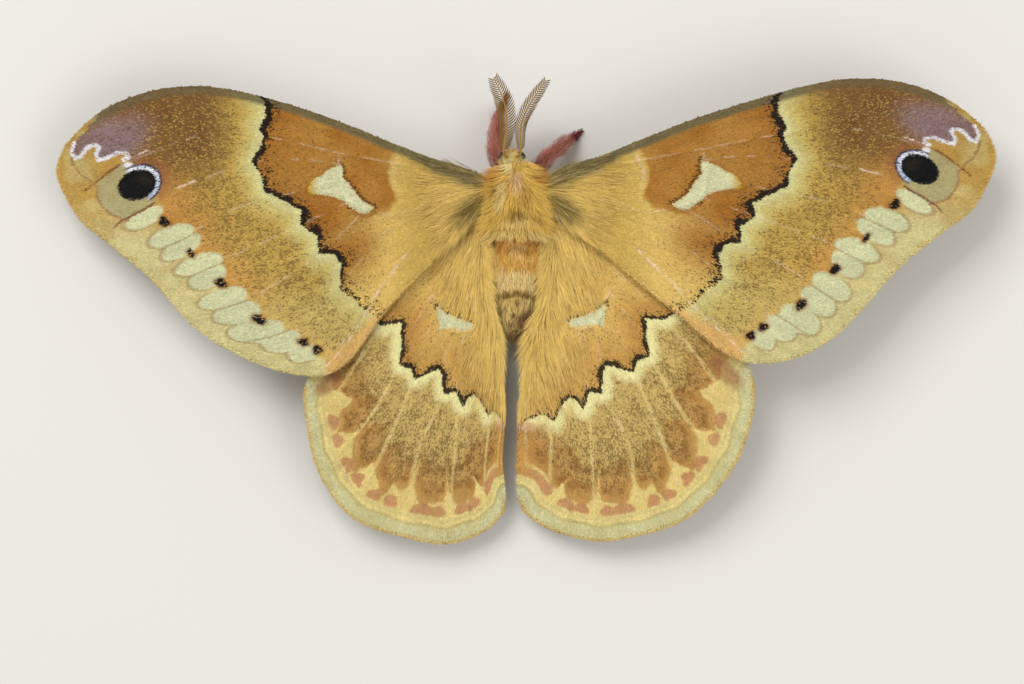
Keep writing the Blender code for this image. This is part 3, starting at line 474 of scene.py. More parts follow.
def fore_apex(colours, v):
    """The lilac patch, the pale margin and the ground of the eyespot."""
    lilac = oval(v.points, ((42.7, 18.3), 4.0, 1.9, -22), -1.3, 1.0) * (v.field < 0)
    lay(colours, "lilac", lilac * (0.5 + 0.45 * v.clump))
    speckle(colours, lilac * 0.12, v.draw)
    layers(
        colours, v.field > 0,
        ("margin_pale", 1.0),
        ("margin_yellow", ramp(v.y, 7.5, 13.0)),
        ("apex", ramp(v.y, 13.5, 16.0) * (0.7 + 0.3 * v.cloud)),
        ("pale", ramp(noise(v.points, 1.5, 16), 0.4, 0.8) * 0.4),
        ("margin_yellow", ramp(noise(v.points, 1.1, 17), 0.45, 0.9) * (0.15 + 0.35 * ramp(v.y, 2.0, 12.0))),
        ("edge", ramp(gap_to(v.points, FORE_MARGIN), 0.5, 0.1) * (0.3 + 0.45 * ramp(v.y, 4.0, 14.0))),
    )
    arc_inside = inside(v.points, list(ARC_LINE) + [(38.7, 12.6), (38.6, 14.4), (40.9, 16.2)])
    low_side = ramp(v.y + 0.72 * (v.x - 41.7), 16.5, 15.9)
    lay(colours, "eye_field", arc_inside * low_side * (0.95 - 0.2 * v.cloud))


def fore_lobes(colours, v):
    """The row of pale lobes, their outline and the black spots between them."""
    lay(colours, "lobe", ramp(-v.lobe, -0.16, 0.05))
    lay(colours, "outline", ramp(np.abs(v.lobe - 0.12), 0.16, 0.04) * ramp(v.field, 0.2, 1.2) * 0.5)
    for first, second in zip(FORE_LOBES[1::2], FORE_LOBES[2::2]):
        turn = math.radians((first[4] + second[4]) / 2)
        reach = np.array((math.cos(turn), math.sin(turn))) * 1.9
        middle = (np.array(first[:2]) + second[:2]) / 2
        between = gap_to(v.points, (middle - reach, middle + reach))
        lay(colours, "outline", ramp(between, 0.14, 0.04) * (v.lobe < 0.1) * 0.55)
    for x, y, length, width in FORE_SPOTS:
        shape = ((x, y), length, width, 40)
        lay(colours, "fore_deep", oval(v.wobble, shape, -0.35, 0.0) * 0.6)
        lay(colours, "line", oval(v.wobble, shape, -0.1, 0.05) * (v.draw < 0.92))


def fore_lines(colours, v):
    """The hind corner, the costa, the black line and the pale mark."""
    x, y, near, draw = v.x, v.y, -v.line, v.draw
    tornus = ramp(1.25 - gap_to(v.points, TORNUS_LINE), -0.5, 0.2)
    lay(colours, "tornus", tornus * ramp(x, 13.5, 16.5) * (1 - ramp(x, 21.5, 23.5)) * 0.85)
    costa = gap_to(v.points, FORE_COSTA)
    strip = ramp(costa - 0.6 * ramp(x, 11.0, 6.0), 1.35, 0.75) * ramp(x, 3.0, 4.5) * (1 - ramp(x, 41.5, 45.0))
    lay(colours, "costa", strip * (0.86 + 0.14 * v.clump))
    lay(colours, "brown", ramp(costa, 2.4, 0.9) * ramp(x, 27.5, 31.0) * (1 - ramp(x, 40.0, 43.0)) * 0.35)
    width = 0.38 + 0.55 * (noise(v.points, 1.3, 8) - 0.45) + 0.25 * (noise(v.points, 0.35, 10) - 0.5)
    v.ink = ramp(near, -0.06, 0.03) * ramp(near, width + 0.35, width - 0.1)
    lay(colours, "line", (v.ink * (0.3 + 0.7 * ramp(y, 0.5, 6.0)) > draw) * 0.96)
    fray = ramp(near, width + 1.5, width - 0.1) * (near > 0) * (0.25 + 0.35 * ramp(v.clump, 0.4, 0.8))
    lay(colours, "line", (draw < fray) * 0.8)
    rim = gap_to(v.points, FORE_MARK, closed=True)
    inner_side = (x < 18.6) & (y > 10.6) & ~v.mark
    lay(colours, "line", (inner_side * ramp(rim, 0.6, 0.1) * 0.9 > draw) * 0.85)
    lay(colours, "fore_deep", ~v.mark * ramp(rim, 0.5, 0.05) * 0.45)
    lay(colours, "mark", v.mark * 0.97)
    lay(colours, "mark_end", v.mark * (ramp(x, 21.0, 22.4) * 0.85 + ramp(rim, 0.25, 0.0) * 0.35))


def fore_eyespot(colours, v):
    """The eyespot, with the arc, zigzag and veins round it, and a painted highlight on its black disc."""
    offset = v.points - np.array(EYESPOT[0])
    facing = offset @ EYE_LIGHT / np.maximum(np.hypot(offset[:, 0], offset[:, 1]), 0.1)
    lit = ramp(facing, -0.1, 0.25)
    lay(colours, "maroon", ramp(v.disc, 1.7, 0.5) * ramp(facing, 0.0, 0.6) * 0.5)
    lay(colours, "rim", ramp(v.disc, 0.54, 0.44) * lit * 0.85)
    lay(colours, "crescent", ramp(v.disc, 0.36, 0.28) * lit * (v.draw < 0.9))
    lay(colours, "white", ramp(v.disc, 0.3, 0.22) * lit * ramp(v.y, 14.2, 15.4) * (v.draw < 0.75))
    lay(colours, "black", ramp(v.disc, 0.06, -0.02))
    # Painted highlight: a faint olive glint on the black disc, on the side of its crescent
    glint = oval(v.points, ((39.5, 14.7), 0.9, 0.6, 20), -0.4, 0.5)
    lay(colours, "olive_base_and_glint", glint * (v.disc < -0.2) * 0.07)
    lay(colours, "outline", ramp(gap_to(v.points, ARC_LINE), 0.16, 0.06) * 0.85)
    for vein in APEX_VEINS:
        lay(colours, "vein_dark", ramp(gap_to(v.points, vein), 0.14, 0.05) * 0.85)
    lay(colours, "white", ramp(gap_to(v.steady, ZIGZAG), 0.26, 0.1) * (v.draw < 0.9) * 0.95)
    lay(colours, "white", oval(v.points, ((40.95, 16.15), 0.36, 0.2, -10), -0.1, 0.02) * 0.9)


def fore_veins(colours, v):
    """The painted shine along stretches of the forewing's veins."""
    # Painted highlight: pale shine along stretches of the veins, broken into patches
    for dash_and_shine in VEIN_SHINE_DASHES:
        patchy_shine = 0.2 + 0.6 * (noise(v.points, 0.5, 9) > 0.5)
        lay(colours, "dash_and_shine", ramp(gap_to(v.points, dash_and_shine), 0.14, 0.05) * patchy_shine)
    lit = vein_shine(v.points, vein_gap(v.points, FORE_VEIN_LINES[1:]), 14)
    lit = lit * ~v.mark * (v.disc > 0.5) * (v.lobe > 0) * (v.ink < 0.4)
    lay(colours, "dash_and_shine", lit * (v.field < 0.2) * (1 - 0.7 * v.olive))


def fore_colours(points, draw):
    """Colours of the forewing at places on its plan, with one random draw of 0 to 1 for each place."""
    values = fore_values(points, draw)
    colours = np.tile(INK["fore_yellow"], (len(points), 1))
    for paint in (fore_root, fore_field, fore_apex, fore_lobes, fore_lines, fore_eyespot, fore_veins):
        paint(colours, values)
    return streaked(colours, points, FORE_FAN, 15)


def vein_gap(points, lines):
    """Distance from each point to the nearest of some lines."""
    return np.min([gap_to(points, line) for line in lines], axis=0)


def vein_shine(points, gap, seed):
    """Weight of the painted shine along thin stretches of the veins."""
    return ramp(gap, 0.11, 0.03) * ramp(noise(points, 0.9, seed), 0.4, 0.75) * 0.3


def streaked(colours, points, fan, seed):
    """Colours with faint lighter and darker streaks that spread from the root."""
    way = points - np.array(fan)
    polar = np.column_stack([np.arctan2(way[:, 1], way[:, 0]) * 42, np.hypot(way[:, 0], way[:, 1]) * 0.45])
    streaks = 0.9 + 0.13 * noise(polar, 1.0, seed) + 0.07 * noise(polar * 2.3, 1.0, seed + 1)
    return colours * streaks[:, None]


def hind_values(points, draw):
    """What the hindwing's marks share: places, noises and how far each place is from the row of points."""
    wobble = wobbled(points, 0.26, 0.5, 21)
    line = signed(wobble, HIND_LINE, ((-20.0, -11.6), (-20.0, 30.0), (17.0, 30.0)))
    margin, along = nearest(points, HIND_MARGIN)
    reach = along + 0.35 * (noise(points, 0.8, 26) - 0.5)
    aside = np.interp(reach, HIND_KNOTS, np.arange(len(HIND_KNOTS)) % 2)
    tooth = np.interp(reach, HIND_PLACES, np.arange(len(HIND_PLACES))) % 1
    pointed = ramp(points[:, 0], 11.5, 15.0)
    round_edge = 3.7 + 1.6 * aside ** 4
    point_edge = 3.1 + 2.3 * np.minimum(tooth / 0.14, (1 - tooth) / 0.86)
    depth = margin + 0.6 * (noise(points, 0.9, 27) - 0.5)
    return SimpleNamespace(
        points=points, x=points[:, 0], y=points[:, 1], draw=draw, wobble=wobble, line=line, beyond=line > 0,
        cloud=noise(points, 2.2, 23), clump=clumps(points, 24), margin=margin, along=along, aside=aside,
        inner=gap_to(points, HIND_INNER), vein=vein_gap(points, HIND_VEIN_LINES), pointed=pointed,
        level=depth - round_edge - (point_edge - round_edge) * pointed,
    )


def hind_field(colours, v):
    """The hindwing from its root to the row of points."""
    near, beyond, level = -v.line, v.beyond, v.level
    lay(colours, "hind_orange", ramp(near, 5.5, 0.6) * (0.6 + 0.4 * v.cloud) * ramp(v.inner, 0.5, 3.0))
    lay(colours, "fore_orange", ramp(near, 2.6, 0.4) * ramp(v.x, 7.0, 11.5) * 0.35)
    speckle(colours, 0.1 * ramp(v.inner, 2.0, 5.0) * v.clump, v.draw)
    uneven = 0.2 + 0.45 * ramp(v.clump, 0.3, 0.7)
    between = np.maximum(ramp(v.aside, 0.95, 0.65), v.pointed)
    pale_vein = ramp(v.vein, 0.3, 0.08) * ramp(v.line, 0.5, 1.5)
    layers(
        colours, beyond,
        ("hind_field", 1.0),
        ("hind_pale", ramp(v.line, 1.5, 0.35)),
        ("hind_brown", ramp(level, 5.2, 1.8) * (0.55 + 0.4 * v.cloud)),
        ("hind_gap", (1 - v.pointed) * ramp(v.aside, 0.85, 1.0) * ramp(level, 3.4, 1.2) * 0.6),
        ("hind_arc", ramp(np.abs(level - 1.3), 0.8, 0.15) * between * uneven),
        ("hind_arc", ramp(np.abs(level - 3.3), 0.8, 0.15) * between * uneven),
        ("hind_gap", pale_vein * (0.3 + 0.3 * v.cloud)),
    )
    dense = ramp(v.line, 0.5, 2.2) * ramp(level, 0.4, 2.6) * (1 - 0.6 * pale_vein)
    speckle(colours, beyond * dense * (0.13 + 0.42 * ramp(v.clump, 0.2, 0.75)), v.draw)


def hind_moons(colours, v):
    """The lunules outside the row of points, a pair in each space between veins."""
    lay(colours, "hind_gap", v.beyond * ramp(v.level, 0.25, -0.1) * (0.7 + 0.3 * v.cloud))
    rim = v.beyond & (v.margin < 6.2)
    rough = 0.5 * (noise(v.points, 0.5, 29) - 0.5)
    sides = [(place, sign, 0.95 + 0.25 * v.pointed) for place in HIND_PLACES[1:-1] for sign in (-1, 1)]
    for place, sign, apart in sides + [(HIND_PLACES[-1], 1, 0.0)]:
        shift = (v.along - place) * sign - apart
        height = v.margin - 3.0 - 0.22 * np.cos(shift * 1.6)
        moon = np.hypot(shift / (1.2 - 0.25 * v.pointed), height / (0.56 + 0.04 * v.pointed))
        lay(colours, "lunule", rim * ramp(moon + rough, 1.15, 0.8) * (0.7 + 0.25 * v.clump))


def hind_rim(colours, v):
    """The bands along the outer margin and the inner side."""
    margin = v.margin
    lay(colours, "hind_pale", ramp(margin, 2.75, 2.45) * 0.3)
    band_edge = 1.65 + 0.1 * np.sin(v.along * 1.4)
    lay(colours, "hind_band", ramp(margin, band_edge, band_edge - 0.15))
    patchy = ramp(noise(v.points, 0.9, 34), 0.2, 0.8)
    lay(colours, "lobe", ramp(margin, 1.5, 1.1) * ramp(margin, 0.4, 0.7) * patchy * 0.6)
    lay(colours, "hind_olive", ramp(np.abs(margin - band_edge), 0.2, 0.05) * (0.4 + 0.3 * v.cloud))
    lay(colours, "hind_olive", ramp(np.abs(margin - 2.3), 0.26, 0.08) * 0.2)
    lay(colours, "edge", ramp(margin, 0.5, 0.12) * 0.8)
    lay(colours, "maroon", oval(v.points, ((21.0, -6.0), 1.8, 0.75, -47), -0.5, 0.3) * (0.5 + 0.3 * v.clump))
    side = ramp(v.inner, 2.4, 0.9) * ramp(-v.y, 11.4, 12.4) * (margin > 2.6)
    lay(colours, "hind_orange", side * 0.8)
    lay(colours, "pink", oval(v.points, ((0.6, -11.4), 1.3, 0.45, -8), -0.3, 0.2) * 0.75)


def hind_lines(colours, v):
    """The black line, the lit veins and the pale mark of the hindwing."""
    near, draw = -v.line, v.draw
    width = 0.22 + 0.3 * (noise(v.points, 1.0, 28) - 0.4)
    ink = ramp(near, -0.05, 0.03) * ramp(near, width + 0.25, width)
    lay(colours, "line", (ink * (0.5 + 0.5 * ramp(v.x, 2.0, 5.0)) > draw) * 0.92)
    lay(colours, "line", (draw < ramp(near, width + 0.9, width) * (near > 0) * 0.4) * 0.7)
    # Painted highlight: pale shine along stretches of the hindwing's veins
    lay(colours, "dash_and_shine", vein_shine(v.points, v.vein, 30) * (v.margin > 3.4) * (ink < 0.4))
    mark = inside(v.wobble * 0.5 + v.points * 0.5, HIND_MARK)
    shadow = ramp(gap_to(v.points, HIND_MARK[:4]), 0.5, 0.1) * ramp(v.y - 0.4 * v.x, -3.4, -3.0)
    lay(colours, "line", (~mark * shadow * 0.6 > draw) * 0.8)
    lay(colours, "mark", mark * ramp(gap_to(v.points, HIND_MARK, closed=True), -0.1, 0.18) * 0.97)


def hind_colours(points, draw):
    """Colours of the hindwing at places on its plan, with one random draw of 0 to 1 for each place."""
    values = hind_values(points, draw)
    colours = np.tile(INK["hind_yellow"], (len(points), 1))
    for paint in (hind_field, hind_moons, hind_rim, hind_lines):
        paint(colours, values)
    return streaked(colours, points, HIND_FAN, 31)


# Wings

OUTLINE_STEP = 0.5


class Wing:
    """One wing, with its plan and pattern drawn on the right wing and its places in millimetres."""

    def __init__(self, side, kind):
        self.side = side
        self.kind = kind
        self.slot = kind + "wing"
        self.name = self.slot + "_" + side
        self.sign = -1.0 if side == "left" else 1.0
        self.outline, self.veins, pairs, self.colours, self.fan, self.guide = PLANS[kind]
        self.bend = thin_plate(pairs) if side == "left" else (lambda places: places)

    def relief(self, plan):
        """Rise of the ridges along the veins, less the sag between them."""
        gap = vein_gap(plan, self.veins)
        ridge = VEIN_RISE * np.clip(1 - gap / VEIN_HALF_WIDTH, 0, 1)
        return ridge - SAG * (1 - np.exp(-(gap / SAG_REACH) ** 2))

    def place(self, plan, lift):
        """Places over the plan, lifted from the membrane's middle."""
        spot = self.bend(plan)
        span = spot[:, 0] - WING_ROOT_X
        chord = np.maximum(0.0, CHORD_START_Y - spot[:, 1])
        height = FORE_ROOT_Z + SPAN_RISE * span - SPAN_BEND[self.side] * span * np.abs(span)
        height = height - CHORD_BEND * chord ** 2 - (HIND_DROP if self.kind == "hind" else 0.0)
        return np.column_stack([self.sign * spot[:, 0], spot[:, 1], height + lift])

    def flow(self, plan, seed, spread=0.2):
        """The way that scales point at each place: out from the root, a little unevenly."""
        way = unit(plan - np.array(self.fan))
        gap, along = nearest(plan, self.guide)
        tangent = unit(at(self.guide, along + 0.6) - at(self.guide, along - 0.6))
        way += (tangent - way) * ramp(gap, 2.4, 0.3)[:, None]
        turn = np.arctan2(way[:, 1], way[:, 0]) + 0.35 * (noise(plan, 3.0, seed) - 0.5)
        turn += np.random.default_rng(seed).normal(0.0, spread, len(plan))
        return np.column_stack([np.cos(turn), np.sin(turn)])

    def unwrap(self, plan, below):
        """Places on the flat unwrap of the membrane: upper face in the lower half, underside in the other."""
        low, high = self.outline.min(axis=0), self.outline.max(axis=0)
        flat = 0.01 + 0.98 * (plan - low) / (high - low)
        return np.column_stack([flat[:, 0], (flat[:, 1] + (1.0 if below else 0.0)) / 2])


def part_line(outline, first, last):
    """A smooth line through some of an outline's points."""
    return smooth_line(outline[first:last], OUTLINE_STEP)


FORE_COSTA = part_line(FORE_OUTLINE, 0, FORE_COSTA_POINTS)
FORE_MARGIN = part_line(FORE_OUTLINE, *FORE_MARGIN_POINTS)
HIND_MARGIN = part_line(HIND_OUTLINE, *HIND_MARGIN_POINTS)
HIND_INNER = part_line(HIND_OUTLINE, *HIND_INNER_POINTS)
HIND_PLACES = np.sort(nearest(np.array(HIND_POINTS), HIND_MARGIN)[1])
HIND_KNOTS = np.sort(np.concatenate([HIND_PLACES, (HIND_PLACES[1:] + HIND_PLACES[:-1]) / 2]))
FORE_BACK = smooth_line(FORE_OUTLINE[-4:], OUTLINE_STEP)
FORE_LOOP = smooth_line(FORE_OUTLINE, OUTLINE_STEP, closed=True)
HIND_LOOP = smooth_line(HIND_OUTLINE, OUTLINE_STEP, closed=True)
FORE_VEIN_LINES = [smooth_line(vein, 1.0) for vein in FORE_VEINS]
HIND_VEIN_LINES = [smooth_line(vein, 1.0) for vein in HIND_VEINS]
# Each kind of wing: outline, veins, pairs for the left wing, pattern, root of the streaks and guiding edge
PLANS = {
    "fore": (FORE_LOOP, FORE_VEIN_LINES, FORE_PAIRS, fore_colours, FORE_FAN, FORE_COSTA),
    "hind": (HIND_LOOP, HIND_VEIN_LINES, HIND_PAIRS, hind_colours, HIND_FAN, HIND_INNER[::-1]),
}


# Meshes and materials

def new_mesh(name, places, faces, colours, material, bake=None, smooth=False):
    """A mesh object of triangles from arrays, places in millimetres, with a colour for each corner."""
    mesh = bpy.data.meshes.new(name)
    world = (np.asarray(places) + (BODY_X, 0.0, 0.0)) * MM
    mesh.vertices.add(len(world))
    mesh.vertices.foreach_set("co", world.astype(np.float32).ravel())
    mesh.loops.add(len(faces) * 3)
    mesh.loops.foreach_set("vertex_index", faces.astype(np.int32).ravel())
    mesh.polygons.add(len(faces))
    mesh.polygons.foreach_set("loop_start", np.arange(0, len(faces) * 3, 3, dtype=np.int32))
    mesh.update(calc_edges=True)
    layer = mesh.color_attributes.new("markings", "FLOAT_COLOR", "POINT")
    tinted = np.column_stack([np.clip(colours, 0.0, 1.0), np.ones(len(colours))])
    layer.data.foreach_set("color", tinted.astype(np.float32).ravel())
    if bake is not None:
        uvs = mesh.uv_layers.new(name=BAKE_MAP)
        uvs.data.foreach_set("uv", bake[faces.ravel()].astype(np.float32).ravel())
    mesh.polygons.foreach_set("use_smooth", np.full(len(faces), smooth))
    mesh.materials.append(material)
    item = bpy.data.objects.new(name, mesh)
    bpy.context.scene.collection.objects.link(item)
    return item


UP = np.array((0.0, 0.0, 1.0))
KITE = ((0, 1, 3), (0, 3, 2), (0, 2, 1), (1, 2, 3))
KITE_POINTS = 4
KITE_MIDDLE = 0.42


def settle(item, slot, *nodes):
    """Let a piece ride on the body, in place of the solids it stands for; its slot is not used."""
    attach(item, "root")
    if nodes:
        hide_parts(*nodes)


def repeated(corners, count, size):
    """The faces of one small body for each of many, where a body has so many points."""
    return (np.arange(count)[:, None, None] * size + np.array(corners)).reshape(-1, 3)


def kites(roots, tips, across, rise):
    """Small closed four-sided bodies, a kite from above with a ridge from root to tip."""
    middle = roots + (tips - roots) * KITE_MIDDLE - rise
    places = np.stack([roots, middle - across, middle + across, tips], axis=1).reshape(-1, 3)
    return places, repeated(KITE, len(roots), KITE_POINTS)


def blades(paths, across, rise):
    """Closed three-sided hairs along paths of several points each, pointed at both ends."""
    stations = paths.shape[1]
    rings = [paths[:, :1]]
    for index in range(1, stations - 1):
        middle = paths[:, index]
        ring = [middle - across[:, index], middle + across[:, index], middle + rise[:, index]]
        rings.append(np.stack(ring, axis=1))
    places = np.concatenate(rings + [paths[:, -1:]], axis=1)
    size = places.shape[1]
    corners = [[0, 2, 1], [0, 3, 2], [0, 1, 3]]
    for base in range(1, size - 4, 3):
        for side in range(3):
            near, far = base + side, base + (side + 1) % 3
            corners += [[near, far, far + 3], [near, far + 3, near + 3]]
    last = size - 4
    corners += [[last, last + 1, size - 1], [last + 1, last + 2, size - 1], [last + 2, last, size - 1]]
    return places.reshape(-1, 3), repeated(corners, len(paths), size), size


def hairs(paths, facings, thick, depth=1.0):
    """Hairs along paths that face a way, as thick as told and a little deeper or not."""
    along = unit(np.gradient(paths, axis=1))
    across = unit(np.cross(along, facings))
    return blades(paths, across * thick, unit(np.cross(across, along)) * thick * depth)


def bake_patches(roots, size):
    """Places on the bake map: a small patch for each tuft, at its root's place on the skin's unwrap."""
    turn = np.arange(size) * 2 * math.pi / size
    patch = np.column_stack([np.cos(turn), np.sin(turn)]) * BAKE_PATCH / 2
    return (roots[:, None, :] + patch[None, :, :]).reshape(-1, 2)


def node(tree, kind, **values):
    """A new shader node with some of its settings."""
    made = tree.nodes.new(kind)
    for name, value in values.items():
        setattr(made, name, value)
    return made


def coat_material(name, roughness, sheen, mottle=0.12, grain=2500.0, specular=0.35, bump=0.0):
    """Markings from the mesh, mottled by fine noise, with a soft silky shine."""
    material = bpy.data.materials.new(name)
    material.use_nodes = True
    tree = material.node_tree
    shader = tree.nodes["Principled BSDF"]
    shader.inputs["Roughness"].default_value = roughness
    shader.inputs["Sheen Weight"].default_value = sheen
    shader.inputs["Sheen Roughness"].default_value = 0.45
    shader.inputs["Specular IOR Level"].default_value = specular
    markings = node(tree, "ShaderNodeAttribute", attribute_name="markings")
    place = node(tree, "ShaderNodeTexCoord")
    grainy = node(tree, "ShaderNodeTexNoise")
    grainy.inputs["Scale"].default_value = grain
    grainy.inputs["Detail"].default_value = 3.0
    span = node(tree, "ShaderNodeMapRange")
    span.inputs["To Min"].default_value = 1.0 - mottle
    span.inputs["To Max"].default_value = 1.0 + mottle
    shade = node(tree, "ShaderNodeVectorMath", operation="SCALE")
    tree.links.new(place.outputs["Object"], grainy.inputs["Vector"])
    tree.links.new(grainy.outputs["Fac"], span.inputs["Value"])
    tree.links.new(markings.outputs["Color"], shade.inputs[0])
    tree.links.new(span.outputs["Result"], shade.inputs["Scale"])
    tree.links.new(shade.outputs["Vector"], shader.inputs["Base Color"])
    if bump:
        raised = node(tree, "ShaderNodeBump")
        raised.inputs["Strength"].default_value = bump
        raised.inputs["Distance"].default_value = 0.00005
        tree.links.new(grainy.outputs["Fac"], raised.inputs["Height"])
        tree.links.new(raised.outputs["Normal"], shader.inputs["Normal"])
    return material


# Membranes

MEMBRANE_DRAWS = (0.1, 0.3, 0.5, 0.7, 0.9)
SKIN_PITCH = 0.866
ON_EDGE = 0.001


def grid_points(outline, step, pitch):
    """Staggered rows of places over the box round an outline."""
    low, high = outline.min(axis=0), outline.max(axis=0)
    rows = np.meshgrid(np.arange(low[0], high[0], step), np.arange(low[1], high[1], step * pitch))
    grid = np.stack(rows, axis=2)
    grid[1::2, :, 0] += step / 2
    return grid.reshape(-1, 2)


def inset(outline, distance):
    """A closed line moved inwards."""
    along = unit(np.roll(outline, -1, axis=0) - np.roll(outline, 1, axis=0))
    inward = np.column_stack([-along[:, 1], along[:, 0]])
    turning = np.sum(outline[:, 0] * np.roll(outline[:, 1], -1) - np.roll(outline[:, 0], -1) * outline[:, 1])
    return outline + inward * distance * math.copysign(1.0, turning)


def under_tone(colours):
    """Colours of the underside: the same pattern, paler and greyer."""
    grey = colours.mean(axis=1, keepdims=True)
    return colours * 0.62 + grey * 0.2 + INK["hair_light"] * 0.12


def wing_skin(wing):
    """The membrane: a closed sheet, thin at its margin, ridged along the veins."""
    outline = inset(wing.outline, SKIN_INSET)
    grid = grid_points(outline, SKIN_STEP, SKIN_PITCH)
    grid = grid[inside(grid, outline) & (gap_to(grid, outline, closed=True) > SKIN_STEP * 0.6)]
    points = [Vector(point) for point in np.vstack([outline, grid])]
    rim = list(range(len(outline)))
    plan, _, faces, _, _, _ = geometry.delaunay_2d_cdt(points, [], [rim], 1, ON_EDGE)
    plan = np.array([tuple(point) for point in plan])
    faces = np.array([face for face in faces if len(face) == 3])
    edge = gap_to(plan, outline, closed=True) < ON_EDGE
    half = np.where(edge, 0.0, SKIN_HALF)
    relief = wing.relief(plan)
    places = np.vstack([wing.place(plan, relief + half), wing.place(plan, relief - half)])
    below = np.where(edge, 0, len(plan)) + np.arange(len(plan))
    turned = faces[:, ::-1]
    both = np.vstack([faces, below[turned]]) if wing.sign > 0 else np.vstack([turned, below[faces]])
    used, both = np.unique(both, return_inverse=True)
    colours = np.mean([wing.colours(plan, np.full(len(plan), draw)) for draw in MEMBRANE_DRAWS], axis=0)
    colours = np.vstack([colours, under_tone(colours)])[used]
    faces = both.reshape(-1, 3)
    item = new_mesh(wing.name + "_membrane", places[used], faces, colours, MEMBRANE, smooth=True)
    settle(item, wing.slot, wing.name)


# Scales

SCALE_STEP = 0.128
SCALE_PITCH = 0.9
SCALE_LENGTH = 0.28
SCALE_HALF_WIDTH = 0.07
SCALE_THICKNESS = 0.02
# Painted shade and light on each scale: darker at its root, lighter at its tip
SCALE_SHADES = np.array((0.82, 1.0, 1.0, 1.1))
FRINGE_STEP = 0.04
UNDER_STEP = 0.3
PIECE_SCALES = 49000
HIDDEN_INSET = 1.6
WING_SEEDS = {"fore": 100, "hind": 200}
LEFT_SEED = 50
WING_HAIRS = {"fore": 2600, "hind": 4600}


def scatter(wing, step, seed):
    """Uneven rows of places over a wing's plan."""
    rng = np.random.default_rng(seed)
    outline = inset(wing.outline, SKIN_INSET)
    plan = grid_points(outline, step, SCALE_PITCH)
    plan = plan + rng.uniform(-0.45, 0.45, plan.shape) * step
    return plan[inside(plan, outline)], rng


def wing_scales(wing, step, below, seed):
    """Overlapping scales over one face of a wing, in joined meshes of limited size."""
    plan, rng = scatter(wing, step, seed)
    if wing.kind == "hind" and not below:
        plan = plan[~inside(plan, inset(FORE_LOOP, HIDDEN_INSET))]
    count = len(plan)
    size = step / SCALE_STEP
    up = -UP if below else UP
    length = SCALE_LENGTH * (0.75 + 0.25 * size) * rng.uniform(0.75, 1.25, count)
    half = SCALE_HALF_WIDTH * (0.3 + 0.7 * size) * rng.uniform(0.7, 1.25, count)
    way = wing.flow(plan, seed + 1)
    passing = ~inside(plan + way * length[:, None], inset(wing.outline, -0.05))
    length = np.where(passing, length * (0.25 if below else 0.5), length)[:, None]
    relief = wing.relief(plan)
    roots = wing.place(plan, relief + up[2] * (SKIN_HALF + 0.01))
    tips = wing.place(plan + way * length, relief + up[2] * (SKIN_HALF + rng.uniform(0.03, 0.13, count)))
    across = unit(np.cross(unit(tips - roots), up)) + up * rng.normal(0.0, 0.22, count)[:, None]
    places, _ = kites(roots, tips, across * half[:, None], up * SCALE_THICKNESS)
    colours = wing.colours(plan + way * length * 0.35, rng.random(count))
    colours *= rng.normal(1.0, 0.085, count)[:, None]
    if below:
        colours = under_tone(colours)
    # Painted shade at each scale's root and painted light at its tip
    colours = (colours[:, None, :] * SCALE_SHADES[None, :, None]).reshape(-1, 3)
    bake = bake_patches(wing.unwrap(plan, below), KITE_POINTS)
    order = np.argsort(plan[:, 0], kind="stable")
    label = "under" if below else "upper"
    for index, chosen in enumerate(np.array_split(order, math.ceil(count / PIECE_SCALES))):
        corner = (chosen[:, None] * KITE_POINTS + np.arange(KITE_POINTS)).ravel()
        faces = repeated(KITE, len(chosen), KITE_POINTS)
        name = f"{wing.name}_scales_{label}_{index + 1}"
        settle(new_mesh(name, places[corner], faces, colours[corner], SCALES, bake[corner]), wing.slot)


def wing_fringe(wing, seed):
    """Fine hair-like scales that stick out a little round the margin."""
    rng = np.random.default_rng(seed)
    line = inset(wing.outline, 0.3)
    ends = np.roll(line, -1, axis=0)
    counts = np.maximum(1, (np.linalg.norm(ends - line, axis=1) / FRINGE_STEP).astype(int))
    start = np.repeat(np.arange(len(line)), counts)
    share = rng.random(len(start))[:, None]
    plan = line[start] * (1 - share) + ends[start] * share
    outward = unit(inset(wing.outline, -0.5) - inset(wing.outline, 0.5))[start]
    front = ramp(gap_to(plan, wing.guide), 0.9, 0.5) * (wing.kind == "fore")
    way = outward * (1 - 0.8 * front)[:, None] + wing.flow(plan, seed, 0.1) * (0.5 + 0.5 * front)[:, None]
    way = unit(way + rng.normal(0.0, 0.1, plan.shape))
    length = rng.uniform(0.28, 0.42, len(plan)) * (1 - 0.4 * front)
    relief = wing.relief(plan)
    roots = wing.place(plan, relief + rng.uniform(-0.06, 0.06, len(plan)))
    tips = wing.place(plan + way * length[:, None], relief + rng.uniform(-0.05, 0.05, len(plan)))
    across = unit(np.cross(tips - roots, UP)) * rng.uniform(0.014, 0.024, len(plan))[:, None]
    places, faces = kites(roots, tips, across, UP * 0.016)
    colours = wing.colours(plan, np.ones(len(plan))) * rng.normal(1.0, 0.08, len(plan))[:, None]
    colours = np.repeat(colours, KITE_POINTS, axis=0)
    bake = bake_patches(wing.unwrap(plan, False), KITE_POINTS)
    settle(new_mesh(wing.name + "_fringe", places, faces, colours, SCALES, bake), wing.slot)


MEMBRANE = coat_material("wing_membrane", 0.6, 0.03, specular=0.12, bump=0.4)
SCALES = coat_material("wing_scales", 0.5, 0.06, specular=0.14)


def build_wings():
    """Four wings, each with its membrane, scales on both faces, fringe and hair."""
    for side in ("left", "right"):
        for kind in ("fore", "hind"):
            wing = Wing(side, kind)
            seed = WING_SEEDS[kind] + (LEFT_SEED if side == "left" else 0)
            wing_skin(wing)
            wing_scales(wing, SCALE_STEP, False, seed)
            wing_scales(wing, UNDER_STEP, True, seed + 10)
            wing_fringe(wing, seed + 15)
            wing_hair(wing, WING_HAIRS[kind], seed + 20)


# Body, legs and antennae

